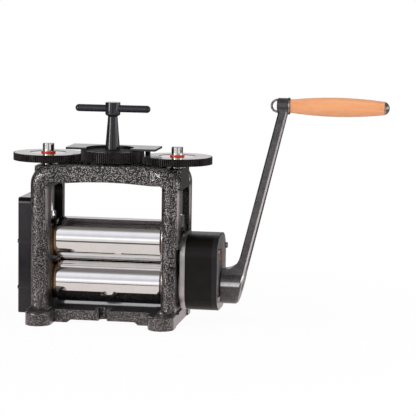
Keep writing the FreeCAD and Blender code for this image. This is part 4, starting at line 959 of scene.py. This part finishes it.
@dataclass(frozen=True)
class Workshop:
    """Every finish of the mill that more than one part may take."""

    casting: Finish = HammerEnamel()
    gearbox: Finish = SmoothEnamel(
        name="gearbox_enamel",
        slot="gearbox_paint",
        colour=(0.0038, 0.0024, 0.0022),
        cloud=(0.0062, 0.0043, 0.0040),
        roughness=0.38,
        coat=0.04,
        specular=0.22,
    )
    end_cover: Finish = FacedCasting()
    crank: Finish = CrankSteel()
    handle: Finish = SmoothEnamel(
        name="handle_enamel",
        slot="handle_black",
        colour=(0.020, 0.0188, 0.0225),
        cloud=(0.029, 0.0272, 0.033),
        roughness=0.15,
        metallic=0.35,
        coat=0.4,
        edge=0.0005,
    )
    guard: Finish = SmoothEnamel(
        name="guard_enamel",
        slot="guard_black",
        colour=(0.020, 0.018, 0.019),
        cloud=(0.032, 0.029, 0.030),
        roughness=0.24,
        metallic=0.35,
        coat=0.4,
        edge=0.0005,
    )
    gear: Finish = GearSteel()
    oxide: Finish = BareMetal(
        name="black_oxide",
        slot="black_steel",
        colour=(0.030, 0.027, 0.028),
        stain=(0.050, 0.044, 0.043),
        roughness=0.30,
        metallic=0.6,
    )
    ground: Finish = BareMetal("ground_steel", "ground_steel", (0.46, 0.45, 0.44), (0.34, 0.32, 0.31), 0.26)
    spring: Finish = BareMetal("spring_wire", "spring_steel", (0.52, 0.50, 0.49), (0.34, 0.31, 0.30), 0.22)
    spindle: Finish = BareMetal(
        name="spindle_steel",
        slot="spring_steel",
        colour=(0.24, 0.226, 0.222),
        stain=(0.15, 0.14, 0.138),
        roughness=0.30,
    )
    mirror: Finish = BareMetal(
        name="mirror_steel",
        slot="mirror_steel",
        colour=(0.83, 0.82, 0.81),
        stain=(0.79, 0.78, 0.77),
        roughness=0.055,
        lay=Lay.ROUND_X,
        relief=0.0000006,
    )
    plate: Finish = BareMetal(
        name="milled_aluminium",
        slot="machined_aluminium",
        colour=(0.60, 0.58, 0.58),
        stain=(0.50, 0.48, 0.48),
        roughness=0.34,
        lay=Lay.ALONG_Z,
    )
    bronze: Finish = BareMetal("bearing_bronze", "bronze", (0.70, 0.42, 0.15), (0.48, 0.24, 0.075), 0.24)
    flange: Finish = FlangeBronze()
    copper: Finish = BareMetal("oiled_bronze", "bronze", (0.95, 0.50, 0.24), (0.62, 0.30, 0.13), 0.32)
    screw: Finish = BareMetal("screw_steel", "screw_steel", (0.42, 0.40, 0.40), (0.22, 0.21, 0.21), 0.20)
    red: Finish = SmoothEnamel(
        name="index_red",
        slot="index_red",
        colour=(0.72, 0.070, 0.018),
        cloud=(0.60, 0.050, 0.012),
        roughness=0.28,
        coat=0.5,
        edge=0.0003,
    )
    wood: Finish = Beech()


# ---- surfaces ----------------------------------------------------------------------------------------------
class Axis(Enum):
    """Axis that a turned piece is turned about: its direction and the two directions across it."""

    X = ((1.0, 0.0, 0.0), (0.0, 1.0, 0.0), (0.0, 0.0, 1.0))
    Z = ((0.0, 0.0, 1.0), (1.0, 0.0, 0.0), (0.0, 1.0, 0.0))


def grid_faces(rows: int, columns: int, wrap_rows: bool) -> np.ndarray:
    """Quads of a grid that is closed round its columns.

    Face (i, j) joins vertices (i, j), (i, j + 1), (i + 1, j + 1) and (i + 1, j), counted round the columns,
    and round the rows as well where the profile is a closed loop.

    Args:
        rows: number of rings.
        columns: vertices in a ring.
        wrap_rows: whether the last ring joins the first.

    Returns:
        Vertex numbers, four to a face.
    """
    i, j = np.meshgrid(np.arange(rows if wrap_rows else rows - 1), np.arange(columns), indexing="ij")
    after_i, after_j = (i + 1) % rows, (j + 1) % columns
    corners = (i * columns + j, i * columns + after_j, after_i * columns + after_j, after_i * columns + j)
    return np.stack(corners, -1).reshape(-1, 4)


def placed(name: str, data: bpy.types.ID) -> bpy.types.Object:
    """Put a mesh, camera or lamp into the scene.

    Args:
        name: the object's name.
        data: what it shows.

    Returns:
        The object, at the origin.
    """
    made = bpy.data.objects.new(name, data)
    bpy.context.scene.collection.objects.link(made)
    return made


def new_object(name: str, points: np.ndarray, faces: list[Sequence[int]], body: str) -> bpy.types.Object:
    """Make a smooth mesh with its place in its vertices, riding on a body.

    Args:
        name: the piece's name.
        points: vertex places in metres.
        faces: vertex numbers of each face.
        body: the body that carries it.

    Returns:
        The piece.
    """
    mesh = bpy.data.meshes.new(name)
    mesh.from_pydata(points.tolist(), [], faces)
    mesh.polygons.foreach_set("use_smooth", np.ones(len(mesh.polygons), bool))
    mesh.update()
    made = placed(name, mesh)
    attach(made, body)
    return made


def face_outwards(mesh: bpy.types.Mesh) -> None:
    """Merge doubled vertices and point every face of a closed mesh outwards.

    Args:
        mesh: the mesh to mend.
    """
    work = bmesh.new()
    work.from_mesh(mesh)
    bmesh.ops.remove_doubles(work, verts=work.verts, dist=1e-7)
    bmesh.ops.recalc_face_normals(work, faces=work.faces)
    work.to_mesh(mesh)
    work.free()


def turned(
    name: str,
    profile: Sequence[tuple[float, float]],
    axis: Axis,
    centre: Point,
    body: str,
    steps: int = 128,
    ring: bool = False,
) -> bpy.types.Object:
    """Turned piece: each profile point goes round the axis in a circle.

    Vertex (i, j) is the centre, plus the axis times along[i], plus radius[i] times the two cross directions
    by the cosine and sine of j's angle. Profile corners sharper than 25 degrees stay crisp.

    Args:
        name: the piece's name.
        profile: (along, radius) points; the ends lie on the axis unless it is a ring.
        axis: what it is turned about.
        centre: a point on the axis.
        body: the body that carries it.
        steps: vertices round it.
        ring: whether the profile is a closed loop round a bore.

    Returns:
        The piece.
    """
    lengthwise, first, second = (np.array(v) for v in axis.value)
    along, radius = np.array(profile, float).T
    angle = np.linspace(0.0, 2 * math.pi, steps, endpoint=False)
    circle = np.cos(angle)[:, None] * first + np.sin(angle)[:, None] * second
    points = np.array(centre) + along[:, None, None] * lengthwise + radius[:, None, None] * circle[None]
    faces = grid_faces(len(profile), steps, ring)
    made = new_object(name, points.reshape(-1, 3), faces.tolist(), body)
    ends = np.empty(len(made.data.edges) * 2, np.int64)
    made.data.edges.foreach_get("vertices", ends)
    ring_of = ends.reshape(-1, 2) // steps
    crisp = corner_turns(along, radius, ring) > SHARP_TURN
    same = ring_of[:, 0] == ring_of[:, 1]
    made.data.edges.foreach_set("use_edge_sharp", same & crisp[ring_of[:, 0]])
    face_outwards(made.data)
    return made


def corner_turns(along: np.ndarray, radius: np.ndarray, ring: bool) -> np.ndarray:
    """Angle by which a profile turns at each of its points.

    Args:
        along: first coordinate.
        radius: second coordinate.
        ring: whether the profile is a closed loop.

    Returns:
        The turns in radians, 0 at the ends of an open profile.
    """
    path = along + 1j * radius
    before, after = path - np.roll(path, 1), np.roll(path, -1) - path
    turns = np.abs(np.angle(after * np.conj(before)))
    if not ring:
        turns[[0, -1]] = 0.0
    return turns


def eased(points: Sequence[tuple[float, float]], radius: float, steps: int = 5) -> list[tuple[float, float]]:
    """Round the inner corners of an open profile.

    Each corner P between A and B becomes the curve (1-t)^2 (P+u) + 2t(1-t) P + t^2 (P+v), where u and v reach
    back along the two sides by the radius, or by 0.45 of a shorter side.

    Args:
        points: the profile.
        radius: reach of the rounding along each side.
        steps: spans in each rounding.

    Returns:
        The rounded profile.
    """
    path = np.array(points, float)
    result = [tuple(path[0])]
    for before, corner, after in zip(path[:-2], path[1:-1], path[2:]):
        back, on = before - corner, after - corner
        reach = min(radius, 0.45 * np.linalg.norm(back), 0.45 * np.linalg.norm(on))
        start, end = corner + back / np.linalg.norm(back) * reach, corner + on / np.linalg.norm(on) * reach
        t = np.linspace(0.0, 1.0, steps + 1)[:, None]
        curve = (1 - t) ** 2 * start + 2 * t * (1 - t) * corner + t**2 * end
        result += [tuple(p) for p in curve]
    return result + [tuple(path[-1])]


def strand(name: str, line: np.ndarray, radius: float, body: str, sides: int = 10) -> bpy.types.Object:
    """Round wire along a line.

    At each point of the line a circle of the wire's radius lies across the line's heading. Its first cross
    direction is the heading times a fixed slanting vector, its second the heading times the first. One flat
    face closes each end.

    Args:
        name: the piece's name.
        line: points of the line.
        radius: the wire's radius.
        body: the body that carries it.
        sides: vertices round the wire.

    Returns:
        The piece.
    """
    heading = np.gradient(line, axis=0)
    heading /= np.linalg.norm(heading, axis=1, keepdims=True)
    first = np.cross(heading, np.array(SLANT))
    first /= np.linalg.norm(first, axis=1, keepdims=True)
    second = np.cross(heading, first)
    angle = np.linspace(0.0, 2 * math.pi, sides, endpoint=False)
    circle = np.cos(angle)[None, :, None] * first[:, None] + np.sin(angle)[None, :, None] * second[:, None]
    points = (line[:, None] + radius * circle).reshape(-1, 3)
    faces = grid_faces(len(line), sides, False).tolist()
    last = (len(line) - 1) * sides
    faces.append(list(range(sides)))
    faces.append(list(range(last + sides - 1, last - 1, -1)))
    made = new_object(name, points, faces, body)
    face_outwards(made.data)
    return made


def finish_piece(piece: bpy.types.Object, finish: Finish, *nodes: str) -> None:
    """Give a new piece its finish, and hide the parts that it stands for.

    Args:
        piece: the new piece.
        finish: its finish.
        nodes: names of the parts that it replaces.
    """
    piece.data.materials.clear()
    piece.data.materials.append(finish.material())
    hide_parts(*nodes)
    LOG.info("%s: %d faces, %s", piece.name, len(piece.data.polygons), finish.name)


class Assembly(ABC):
    """A sub-assembly of the mill."""

    def __init__(self, frame: Mapping[str, Mapping[str, bpy.types.Object]], finishes: Workshop) -> None:
        """Keep the parts and finishes.

        Args:
            finishes: the shared finishes.
        """
        self.nodes = frame["nodes"]
        self.finishes = finishes

    def dress(self, finish: Finish, *names: str) -> None:
        """Give parts a finish.

        Args:
            finish: the finish.
            names: the parts' names.
        """
        for name in names:
            node = self.nodes[name]
            if not node.material_slots:
                node.data.materials.append(None)
            for place in node.material_slots:
                place.material = finish.material()
            LOG.info("%s: %s", name, finish.name)

    @abstractmethod
    def build(self) -> None:
        """Make the sub-assembly's meshes and dress its parts."""


class Casting(Assembly):
    """Cast frame with the fixed posts and plates on it."""

    def build(self) -> None:
        """Dress the casting and what is fixed on its deck."""
        self.dress(self.finishes.casting, "frame_casting")
        self.dress(self.finishes.guard, "guard_plate")
        self.dress(self.finishes.oxide, "pivot_post", "guard_plate_standoffs")
        self.dress(self.finishes.screw, "guard_plate_screws")
        self.dress(self.finishes.bronze, "thrust_washer")


class Bearings(Assembly):
    """Bearing blocks, bushes, springs and pressure feet."""

    def build(self) -> None:
        """Dress the bearings of both rolls."""
        for side in ("left", "right"):
            for level in ("lower", "upper"):
                self.dress(self.finishes.ground, f"{level}_bearing_block_{side}")
                self.dress(self.finishes.flange, f"{level}_bush_{side}")
            self.dress(self.finishes.mirror, f"pressure_foot_{side}")
        self.dress(self.finishes.spring, "lifting_springs")


@dataclass(frozen=True)
class RollSizes:
    """Sizes of a roll that its box doesn't give."""

    half_length: float = 80.0 * MM
    journal_radius: float = 17.0 * MM
    seat_radius: float = 14.0 * MM
    left_seat_x: float = -114.5 * MM
    right_seat_x: float = 109.5 * MM
    chamfer: float = 0.8 * MM


class Rolls(Assembly):
    """Both polished rolls with the gears that keep them in step."""

    sizes = RollSizes()

    def barrel_profile(self, left: float, radius: float) -> list[tuple[float, float]]:
        """Profile from the gear end to the right edge of the barrel.

        Args:
            left: X of the gear end.
            radius: the barrel's radius.

        Returns:
            (along, radius) points.
        """
        s = self.sizes
        return [
            (left, 0.0),
            (left, s.seat_radius - s.chamfer),
            (left + s.chamfer, s.seat_radius),
            (s.left_seat_x, s.seat_radius),
            (s.left_seat_x, s.journal_radius),
            (-s.half_length, s.journal_radius),
            (-s.half_length, radius - s.chamfer),
            (-s.half_length + s.chamfer, radius),
            (s.half_length - s.chamfer, radius),
            (s.half_length, radius - s.chamfer),
            (s.half_length, s.journal_radius),
        ]

    def end_profile(self, name: str, right: float) -> list[tuple[float, float]]:
        """Profile of the right journal, which steps down to a gear seat on the lower roll.

        Args:
            name: the roll's name.
            right: X of its right end.

        Returns:
            (along, radius) points.
        """
        s = self.sizes
        if name == "upper_roll":
            return [(right, s.journal_radius), (right, 0.0)]
        step = s.right_seat_x
        return [(step, s.journal_radius), (step, s.seat_radius), (right, s.seat_radius), (right, 0.0)]

    def build(self) -> None:
        """Turn both rolls finely, for clean reflections, and dress their gears."""
        for name in ("upper_roll", "lower_roll"):
            low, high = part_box(name)
            centre = (0.0, 0.0, (low.z + high.z) / 2)
            profile = self.barrel_profile(low.x, (high.z - low.z) / 2) + self.end_profile(name, high.x)
            piece = turned(f"polished_{name}", profile, Axis.X, centre, name, 256)
            finish_piece(piece, self.finishes.mirror, name)
        self.dress(self.finishes.ground, "upper_roll_gear", "lower_roll_gear", "reduction_wheel")
        self.dress(self.finishes.spring, "upper_gear_circlip", "lower_gear_circlip")
        self.dress(self.finishes.bronze, "pilot_bush")


@dataclass(frozen=True)
class ScrewSizes:
    """Sizes of an adjusting screw that its box doesn't give."""

    pin_radius: float = 8.65 * MM
    pin_chamfer: float = 0.8 * MM
    thread_chamfer: float = 1.0 * MM


class ScrewDown(Assembly):
    """Adjusting screws with their dials, hubs and index rings."""

    sizes = ScrewSizes()

    def build(self) -> None:
        """Turn the polished pins and dress the dials."""
        for side in ("left", "right"):
            screw = f"adjusting_screw_{side}"
            low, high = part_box(screw)
            centre_x = (low.x + high.x) / 2
            profile = self.profile(low.z, high.z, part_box(f"dial_gear_{side}")[1].z, (high.x - low.x) / 2)
            centre = (centre_x, 0.0, 0.0)
            piece = turned(f"polished_screw_{side}", profile, Axis.Z, centre, f"adjuster_{side}", 96)
            finish_piece(piece, self.finishes.mirror, screw)
            self.dress(DialFace(f"dial_steel_{side}", centre_x), f"dial_gear_{side}")
            self.dress(self.finishes.oxide, f"dial_hub_{side}")
            self.dress(self.finishes.red, f"index_ring_{side}")

    def profile(self, foot: float, top: float, dial_top: float, radius: float) -> list[tuple[float, float]]:
        """Profile of a screw: the thread's cylinder up to the dial, and a slimmer pin above.

        Args:
            foot: Z of the screw's foot.
            top: Z of the pin's top.
            dial_top: Z of the dial's top face.
            radius: the thread's radius.

        Returns:
            (along, radius) points.
        """
        s = self.sizes
        neck = dial_top - s.thread_chamfer
        return [
            (foot, 0.0),
            (foot, radius - s.thread_chamfer),
            (foot + s.thread_chamfer, radius),
            (neck, radius),
            (neck, s.pin_radius),
            (top - s.pin_chamfer, s.pin_radius),
            (top, s.pin_radius - s.pin_chamfer),
            (top, 0.0),
        ]


@dataclass(frozen=True)
class TeeSizes:
    """Sizes of the tee handle that its boxes don't give."""

    foot_lift: float = 0.2 * MM
    foot_radius: float = 9.9 * MM
    cone_foot_radius: float = 11.25 * MM
    cone_top_radius: float = 7.25 * MM
    cone_top_z: float = 308.2 * MM
    hub_foot_z: float = 311.0 * MM
    rounding: float = 0.8 * MM
    cap_spans: int = 12


class TeeHandle(Assembly):
    """Centre gear with its tapered stem and cross bar."""

    sizes = TeeSizes()

    def build(self) -> None:
        """Turn the stem and bar finely and dress the gear."""
        self.make_stem()
        self.make_bar()
        self.dress(self.finishes.gear, "centre_gear")

    def make_stem(self) -> None:
        """Turn the stem: a foot in the gear, a cone above it and a hub round the bar."""
        s = self.sizes
        low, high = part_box("tee_stem")
        foot, gear_top = low.z + s.foot_lift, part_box("centre_gear")[1].z
        hub = (high.x - low.x) / 2
        profile = [
            (foot, 0.0),
            (foot, s.foot_radius),
            (gear_top, s.foot_radius),
            (gear_top, s.cone_foot_radius),
            (s.cone_top_z, s.cone_top_radius),
            (s.hub_foot_z, hub),
            (high.z, hub),
            (high.z, 0.0),
        ]
        piece = turned("tee_stem_turned", eased(profile, s.rounding), Axis.Z, (0.0, 0.0, 0.0), "tee_handle")
        finish_piece(piece, self.finishes.handle, "tee_stem")

    def make_bar(self) -> None:
        """Turn the bar: a straight rod whose ends are half balls of its own radius.

        A cap's point at an angle lies inwards from the end by the radius times 1 minus the cosine, and out
        from the axis by the radius times the sine.
        """
        low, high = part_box("tee_bar")
        radius = (high.z - low.z) / 2
        angle = np.linspace(0.0, math.pi / 2, self.sizes.cap_spans + 1)
        inwards, height = radius * (1 - np.cos(angle)), radius * np.sin(angle)
        ends = (np.column_stack((low.x + inwards, height)), np.column_stack((high.x - inwards, height))[::-1])
        profile = [tuple(p) for p in np.vstack(ends)]
        centre = (0.0, 0.0, (low.z + high.z) / 2)
        piece = turned("tee_bar_turned", profile, Axis.X, centre, "tee_handle", 64)
        finish_piece(piece, self.finishes.handle, "tee_bar")


class GearCover(Assembly):
    """Cover over the roll gears."""

    def build(self) -> None:
        """Dress the cover and its screws."""
        self.dress(CoverEnamel(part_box("gear_cover")[1].z), "gear_cover")
        self.dress(self.finishes.screw, "gear_cover_screws")


class Gearbox(Assembly):
    """Reduction gearbox on the right cheek."""

    def build(self) -> None:
        """Dress the box, its plate, screws, bushes and gears."""
        self.dress(self.finishes.plate, "gearbox_mounting_plate")
        self.dress(self.finishes.gearbox, "gearbox_housing")
        self.dress(self.finishes.end_cover, "gearbox_end_cover")
        self.dress(self.finishes.screw, "mounting_plate_screws", "gearbox_screws")
        self.dress(self.finishes.copper, "layshaft_bush_inner", "layshaft_bush_outer", "crank_shaft_bush")
        self.dress(self.finishes.ground, "layshaft", "layshaft_wheel", "layshaft_pinion", "crank_pinion")


@dataclass(frozen=True)
class ClipSizes:
    """Sizes of the twisted wire clip that its box doesn't give."""

    wire_radius: float = 0.95 * MM
    winding_radius: float = 0.85 * MM
    twists: float = 7.5
    spans: int = 240


@dataclass(frozen=True)
class GripSizes:
    """Sizes of the grip that its box doesn't give."""

    end_radius: float = 9.75 * MM
    bore_radius: float = 5.05 * MM
    ease: float = 0.6 * MM
    ease_inner: float = 0.05 * MM
    spans: int = 64


class Crank(Assembly):
    """Crank with its shaft, clip, spindle and wooden grip."""

    clip = ClipSizes()
    grip = GripSizes()

    def build(self) -> None:
        """Dress the arm, shaft, screw and spindle, and make the clip and grip."""
        self.dress(self.finishes.crank, "crank_arm")
        self.dress(self.finishes.ground, "crank_shaft", "grip_washer")
        self.dress(self.finishes.screw, "crank_retaining_screw")
        self.dress(self.finishes.spindle, "grip_spindle")
        self.make_clip()
        self.make_grip()

    def make_clip(self) -> None:
        """Wind two strands round each other along a half circle.

        Strand k runs at the clip's radius from the eye's axis, and circles that line at the winding radius
        by an angle of the twists times the way along it, plus half a turn for the second strand.
        """
        s = self.clip
        low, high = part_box("spindle_clip")
        reach = (high.z - low.z) / 2
        root = np.array((low.x + reach, 0.0, (low.z + high.z) / 2))
        radius = reach - s.wire_radius - s.winding_radius
        way = np.linspace(0.0, 1.0, s.spans + 1)
        bend = math.pi * (way - 0.5)
        outward = np.column_stack((-np.cos(bend), np.zeros_like(bend), np.sin(bend)))
        across = np.array((0.0, 1.0, 0.0))
        for index in range(2):
            turn = 2 * math.pi * s.twists * way + math.pi * index
            offset = radius + s.winding_radius * np.cos(turn)
            line = outward * offset[:, None] + across * (s.winding_radius * np.sin(turn))[:, None] + root
            piece = strand(f"clip_strand_{index + 1}", line, s.wire_radius, "crank")
            finish_piece(piece, self.finishes.spring, "spindle_clip")

    def make_grip(self) -> None:
        """Turn the grip: an arc from end to end, with eased corners at its faces.

        The radius at a place is the end radius plus the swell times 1 minus the square of the way from the
        middle, which is within a hair of a circular arc.
        """
        s = self.grip
        low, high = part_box("grip")
        middle, half = (low.x + high.x) / 2, (high.x - low.x) / 2
        way = np.linspace(-1.0, 1.0, s.spans + 1)
        radius = s.end_radius + ((high.z - low.z) / 2 - s.end_radius) * (1 - way**2)
        radius[[0, -1]] -= s.ease
        radius[[1, -2]] -= s.ease_inner
        way[[1, -2]] = (s.ease / half - 1, 1 - s.ease / half)
        side = [tuple(p) for p in np.column_stack((middle + half * way, radius))]
        profile = [(low.x, s.bore_radius), *side, (high.x, s.bore_radius)]
        piece = turned("turned_grip", profile, Axis.X, (0.0, 0.0, (low.z + high.z) / 2), "grip", 96, True)
        finish_piece(piece, self.finishes.wood, "grip")


# ---- studio ------------------------------------------------------------------------------------------------
@dataclass(frozen=True)
class Softbox:
    """A large soft lamp: where it hangs, what it lights, its size and power, and whether metal mirrors it."""

    name: str
    place: Point
    target: Point
    size: tuple[float, float]
    watts: float
    mirrored: bool


@dataclass(frozen=True)
class Studio:
    """Pale floor, bright surroundings, soft lamps and the camera.

    The mirrored surroundings are set by stops: ring and ground_ring give brightness by the turn from the
    camera in degrees, for the walls and for the ground, and heights gives colour by degrees above level.
    """

    eye: Point = (0.60648, -2.90211, 0.55063)
    target: Point = (0.14683, 0.0, 0.17423)
    roll: float = math.radians(0.81)
    focal_pixels: float = 1974.1
    render_pixels: float = 416.0
    sensor: float = 36.0
    floor_size: float = 12.0
    floor_drop: float = 0.3 * MM
    shadow_share: float = 0.04
    shadow_from: float = 0.25
    shadow_to: float = 0.70
    paper: Colour = (0.88, 0.87, 0.865)
    mirror_share: float = 0.9
    table: Colour = (0.82, 0.755, 0.735)
    table_edge: Colour = (0.03, 0.028, 0.03)
    lamplight: Colour = (0.95, 0.93, 0.92)
    table_front: float = 0.41
    rim_end: float = 0.74
    table_back: float = 0.34
    table_half: float = 1.1
    view_turn: float = 9.5
    soft_light: Colour = (0.30, 0.30, 0.303)
    room_strength: float = 1.25
    ground_ring: tuple[tuple[float, float], ...] = (
        (-180.0, 0.05),
        (-95.0, 0.05),
        (-72.0, 0.35),
        (-62.0, 0.85),
        (-8.0, 0.90),
        (-2.5, 0.05),
        (5.0, 0.05),
        (11.0, 0.70),
        (24.0, 0.90),
        (52.0, 0.85),
        (62.0, 0.06),
        (180.0, 0.05),
    )
    ring: tuple[tuple[float, float], ...] = (
        (-180.0, 0.75),
        (-150.0, 0.65),
        (-138.0, 0.06),
        (-80.0, 0.05),
        (-62.0, 0.30),
        (-45.0, 0.80),
        (-29.0, 1.00),
        (-14.0, 1.00),
        (-6.0, 0.70),
        (-2.5, 0.10),
        (2.5, 0.10),
        (6.0, 0.55),
        (25.0, 0.55),
        (38.0, 0.12),
        (56.0, 0.06),
        (66.0, 0.40),
        (124.0, 0.40),
        (136.0, 0.08),
        (166.0, 0.06),
        (173.0, 0.50),
        (180.0, 0.75),
    )
    heights: tuple[tuple[float, Colour], ...] = (
        (-90.0, (0.48, 0.45, 0.44)),
        (-2.0, (0.70, 0.67, 0.66)),
        (2.0, (0.85, 0.83, 0.83)),
        (5.0, (1.00, 0.99, 0.99)),
        (10.0, (1.00, 1.00, 1.00)),
        (15.0, (0.62, 0.62, 0.67)),
        (21.0, (0.56, 0.56, 0.61)),
        (28.0, (0.72, 0.73, 0.78)),
        (40.0, (0.80, 0.81, 0.86)),
        (45.0, (0.60, 0.59, 0.62)),
        (50.0, (0.24, 0.23, 0.23)),
        (60.0, (0.17, 0.155, 0.153)),
        (80.0, (0.20, 0.185, 0.18)),
        (90.0, (0.08, 0.073, 0.07)),
    )
    lamps: tuple[Softbox, ...] = (
        Softbox("left_softbox", (-1.40, -1.42, 0.52), (0.0, 0.0, 0.15), (0.5, 0.85), 13.0, True),
        Softbox("right_softbox", (2.00, 0.10, 0.47), (0.1, 0.0, 0.20), (2.3, 0.8), 11.0, True),
        Softbox("front_softbox", (0.9, -2.0, 0.9), (0.1, 0.0, 0.12), (1.0, 0.9), 12.5, False),
        Softbox("top_softbox", (0.1, -0.4, 1.9), (0.1, 0.0, 0.1), (1.4, 1.0), 10.0, False),
    )

    def build(self) -> None:
        """Set up the camera, floor, surroundings and lamps."""
        self.camera()
        self.floor()
        self.surroundings()
        for lamp in self.lamps:
            self.hang(lamp)
        bpy.context.scene.view_settings.view_transform = "Standard"

    def camera(self) -> None:
        """Aim the camera, turned a little about its own view."""
        data = bpy.data.cameras.new("camera")
        data.sensor_width = self.sensor
        data.lens = self.focal_pixels / self.render_pixels * self.sensor
        data.clip_start, data.clip_end = 0.05, 60.0
        made = placed("camera", data)
        aim = (Vector(self.target) - Vector(self.eye)).to_track_quat("-Z", "Y").to_matrix().to_4x4()
        made.matrix_world = Matrix.Translation(self.eye) @ aim @ Matrix.Rotation(self.roll, 4, "Z")
        bpy.context.scene.camera = made

    def floor(self) -> None:
        """Lay a pale floor."""
        half = self.floor_size / 2
        mesh = bpy.data.meshes.new("floor")
        corners = [(-half, -half), (half, -half), (half, half), (-half, half)]
        mesh.from_pydata([(x, y, -self.floor_drop) for x, y in corners], [], [(0, 1, 2, 3)])
        made = placed("floor", mesh)
        mesh.materials.append(self.floor_material())

    def floor_material(self) -> bpy.types.Material:
        """Make paper that keeps a faint shadow and runs out into white; mirrored, it is a lamplit table.

        Returns:
            The material.
        """
        material = bpy.data.materials.new("pale_floor")
        material.use_nodes = True
        tree = Tree(material.node_tree)
        at = tree.place()
        away = (at.x * at.x + at.y * at.y) ** 0.5
        outside = tree.span(away, self.shadow_from, self.shadow_to)
        whiteness = outside * self.shadow_share + (1.0 - self.shadow_share)
        keep = (tree.ray("Camera") + tree.ray("Transmission")) * whiteness
        paper = tree.node("ShaderNodeBsdfDiffuse", None, {"Color": self.paper})
        white = tree.node("ShaderNodeEmission", None, {"Color": WHITE, "Strength": 1.0})
        lamplit = {"Color": self.mirrored_floor(tree, at), "Strength": 1.0}
        room = tree.node("ShaderNodeEmission", None, lamplit)
        shown = tree.blend(tree.ray("Glossy") * self.mirror_share, tree.blend(keep, paper, white), room)
        tree.node("ShaderNodeOutputMaterial", None, {"Surface": shown.outputs[0]})
        return material

    def mirrored_floor(self, tree: Tree, at: Place) -> bpy.types.NodeSocket:
        """Colour of the floor in reflections: a table, its dark front edge, and lamplight beyond.

        Args:
            tree: the floor's tree.
            at: Object coordinates.

        Returns:
            The colour.
        """
        within = abs(at.x).below(self.table_half, 0.05)
        on_table = at.y.above(-self.table_front, 0.02) * at.y.below(self.table_back, 0.2) * within
        edge = at.y.above(-self.rim_end, 0.06) * at.y.below(-self.table_front, 0.02) * within
        beyond = tree.mix(self.around(tree, at, self.ground_ring), BLACK, self.lamplight)
        return tree.mix(edge, tree.mix(on_table, beyond, self.table), self.table_edge)

    def around(self, tree: Tree, way: Place, ring: Sequence[tuple[float, float]]) -> Num:
        """Brightness of the mirrored surroundings by direction round the mill.

        Args:
            tree: the tree to write in.
            way: direction or place as seen from the mill.
            ring: turn from the camera in degrees, and brightness there.

        Returns:
            Brightness from 0 to 1.
        """
        angle = tree.maths("ARCTAN2", way.x, way.y * -1.0)
        share = angle / (2 * math.pi) + (0.5 - self.view_turn / 360.0)
        share = tree.maths("FRACT", share + 1.0)
        stops = [(turn / 360.0 + 0.5, (level,) * 3) for turn, level in ring]
        return Num(tree, tree.ramp(share, stops))

    def surroundings(self) -> None:
        """Make the world white to the eye, patterned in reflections, and even for soft light."""
        world = bpy.data.worlds.new("studio")
        world.use_nodes = True
        bpy.context.scene.world = world
        tree = Tree(world.node_tree)
        way = tree.split(tree.node("ShaderNodeTexCoord").outputs["Generated"])
        rise = tree.maths("ARCSINE", way.z)
        stops = [(height / 180.0 + 0.5, colour) for height, colour in self.heights]
        bands = tree.ramp(rise / math.pi + 0.5, stops)
        overhead = way.z.above(0.80, 0.2)
        lit = tree.maths("MAXIMUM", self.around(tree, way, self.ring), overhead)
        backdrop = tree.mix(tree.ray("Camera") + tree.ray("Transmission"), self.soft_light, WHITE)
        plain = tree.node("ShaderNodeBackground", None, {"Color": backdrop, "Strength": 1.0})
        patterned = {"Color": tree.mix(lit, BLACK, bands), "Strength": self.room_strength}
        room = tree.node("ShaderNodeBackground", None, patterned)
        both = tree.blend(tree.ray("Glossy"), plain, room)
        tree.node("ShaderNodeOutputWorld", None, {"Surface": both.outputs[0]})

    def hang(self, lamp: Softbox) -> None:
        """Hang one softbox.

        Args:
            lamp: its place, aim, size and power.
        """
        data = bpy.data.lights.new(lamp.name, "AREA")
        data.shape = "RECTANGLE"
        data.size, data.size_y = lamp.size
        data.energy = lamp.watts
        made = placed(lamp.name, data)
        made.visible_glossy = lamp.mirrored
        made.location = lamp.place
        made.rotation_mode = "QUATERNION"
        made.rotation_quaternion = (Vector(lamp.target) - Vector(lamp.place)).to_track_quat("-Z", "Y")


def main() -> None:
    """Load the frame, build every sub-assembly and the studio."""
    logging.basicConfig(level=logging.INFO, format="%(name)s %(message)s")
    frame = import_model()
    finishes = Workshop()
    for kind in (Casting, Bearings, Rolls, ScrewDown, TeeHandle, GearCover, Gearbox, Crank):
        kind(frame, finishes).build()
    Studio().build()


if __name__ == "__main__":
    main()
